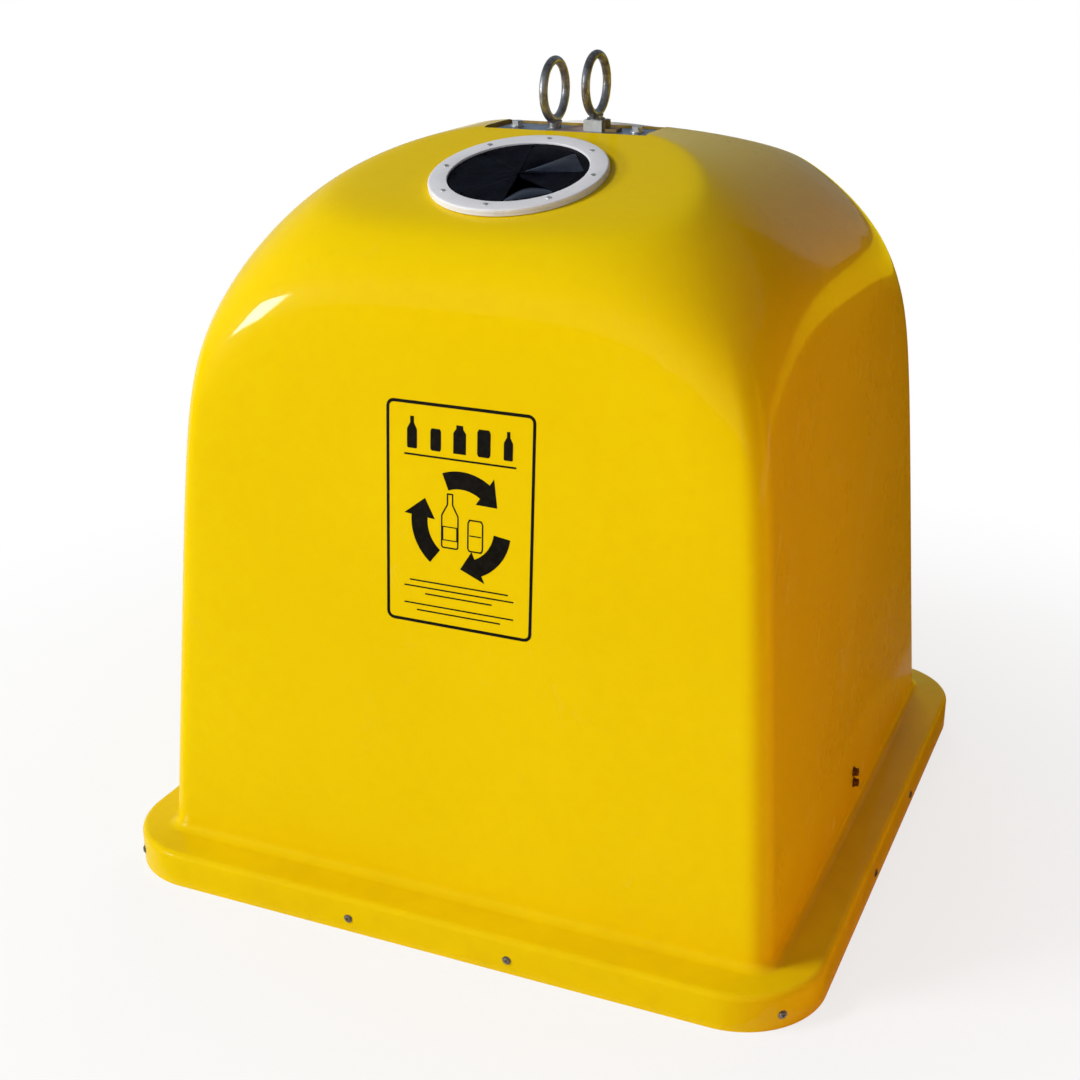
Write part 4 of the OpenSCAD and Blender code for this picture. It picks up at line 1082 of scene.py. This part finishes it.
def card(name, corners, colour):
    """Flat card beside the container that lights nothing and shows only in gloss."""
    piece = mesh_object(name, corners, [tuple(range(len(corners)))])
    m = new_material(name)
    m.tree.nodes.clear()
    glow = m.add("ShaderNodeEmission")
    glow.inputs["Color"].default_value = (*colour, 1)
    m.link(glow.outputs[0], m.add("ShaderNodeOutputMaterial").inputs["Surface"])
    piece.data.materials.append(m.owner)
    piece.visible_camera = piece.visible_diffuse = piece.visible_transmission = piece.visible_shadow = False


def treeline(left, right, y, height, rise):
    """Corners of a card with an uneven top edge."""
    draw = random.Random(12)
    steps = 50
    top = [(right + (left - right) * k / steps, y, height + draw.uniform(0, rise)) for k in range(steps + 1)]
    return [(left, y, TREELINE_FOOT), (right, y, TREELINE_FOOT)] + top


make_floor()
make_world()
lamp("key", (-11.0, -10.2, 3.6), (0, 0, 0.75), (2.3, 2.3), 840)
lamp("front", (0.15, -2.4, 1.5), (0.3, -0.5, 0.9), (0.9, 0.9), 7.4, shine=False)
lamp("top", (-4.8, -3.2, 5.6), (-0.2, -0.1, 1.1), (2.0, 2.0), 305, shine=False)
lamp("side", (2.9, -1.1, 0.5), (0.5, -0.1, 0.5), (1.2, 0.8), 22, (1, 0.31, 0.05), shine=False)
lamp("back", (-1.2, 5.2, 2.4), (0, 0.4, 0.7), (2.5, 2.0), 105, (1, 0.97, 0.9), shine=False)

# Cards that only gloss sees: dark ground, low banks, a light field, a hedge, two groves and a pale strip

GROUND = (0.075, 0.030, 0.002)
FRONT_GROUND = (0.20, 0.13, 0.003)
FIELD = (1.5, 1.2, 0.01)
HEDGE = (0.030, 0.026, 0.012)
GROVE = (0.060, 0.046, 0.006)
STRIP = (3.0, 2.0, 0.05)
END, FIELD_Y = 9, 7.6
NEAR_CORNER, SEAM_END = (0.655, -0.66), (END, -2.5)
FLAT_H, WALL_FOOT = 0.002, 0.003
BANK_H, FIELD_H, STRIP_H = 1.95, 1.06, 2.0
STRIP_X, STRIP_FROM, STRIP_TO = 2.45, -0.30, 0.05


def flat_card(name, corners, colour):
    """Card that lies just above the floor."""
    card(name, [(x, y, FLAT_H) for x, y in corners], colour)


def wall_card(name, start, end, foot, height, colour):
    """Card that stands between two points of the floor."""
    card(name, [(*start, foot), (*end, foot), (*end, height), (*start, height)], colour)


flat_card("ground_card", [NEAR_CORNER, SEAM_END, (END, FIELD_Y), (-0.5, FIELD_Y), (NEAR_CORNER[0], 1.2)],
          GROUND)
flat_card("front_ground_card", [(-END, NEAR_CORNER[1]), (-END, -END), (END, -END), SEAM_END, NEAR_CORNER],
          FRONT_GROUND)
wall_card("front_bank_card", (-END, -END), (END, -END), WALL_FOOT, BANK_H, FRONT_GROUND)
wall_card("left_bank_card", (-END, NEAR_CORNER[1]), (-END, -END), WALL_FOOT, BANK_H, FRONT_GROUND)
wall_card("right_bank_card", (END, -END), SEAM_END, WALL_FOOT, BANK_H, FRONT_GROUND)
wall_card("field_card", (-3, FIELD_Y), (END, FIELD_Y), 0.0, FIELD_H, FIELD)
card("hedge_card", treeline(-3, END, FIELD_Y - 0.02, 1.24, 0.34), HEDGE)
card("far_grove_card", treeline(2.9, END, FIELD_Y - 0.01, 6.4, 1.6), GROVE)
card("near_grove_card", [(y + 1.4, x - 3, z) for x, y, z in treeline(-6, 10.6, FIELD_Y, 6.4, 1.6)], GROVE)
wall_card("strip_card", (STRIP_X, STRIP_FROM), (STRIP_X, STRIP_TO), WALL_FOOT, STRIP_H, STRIP)
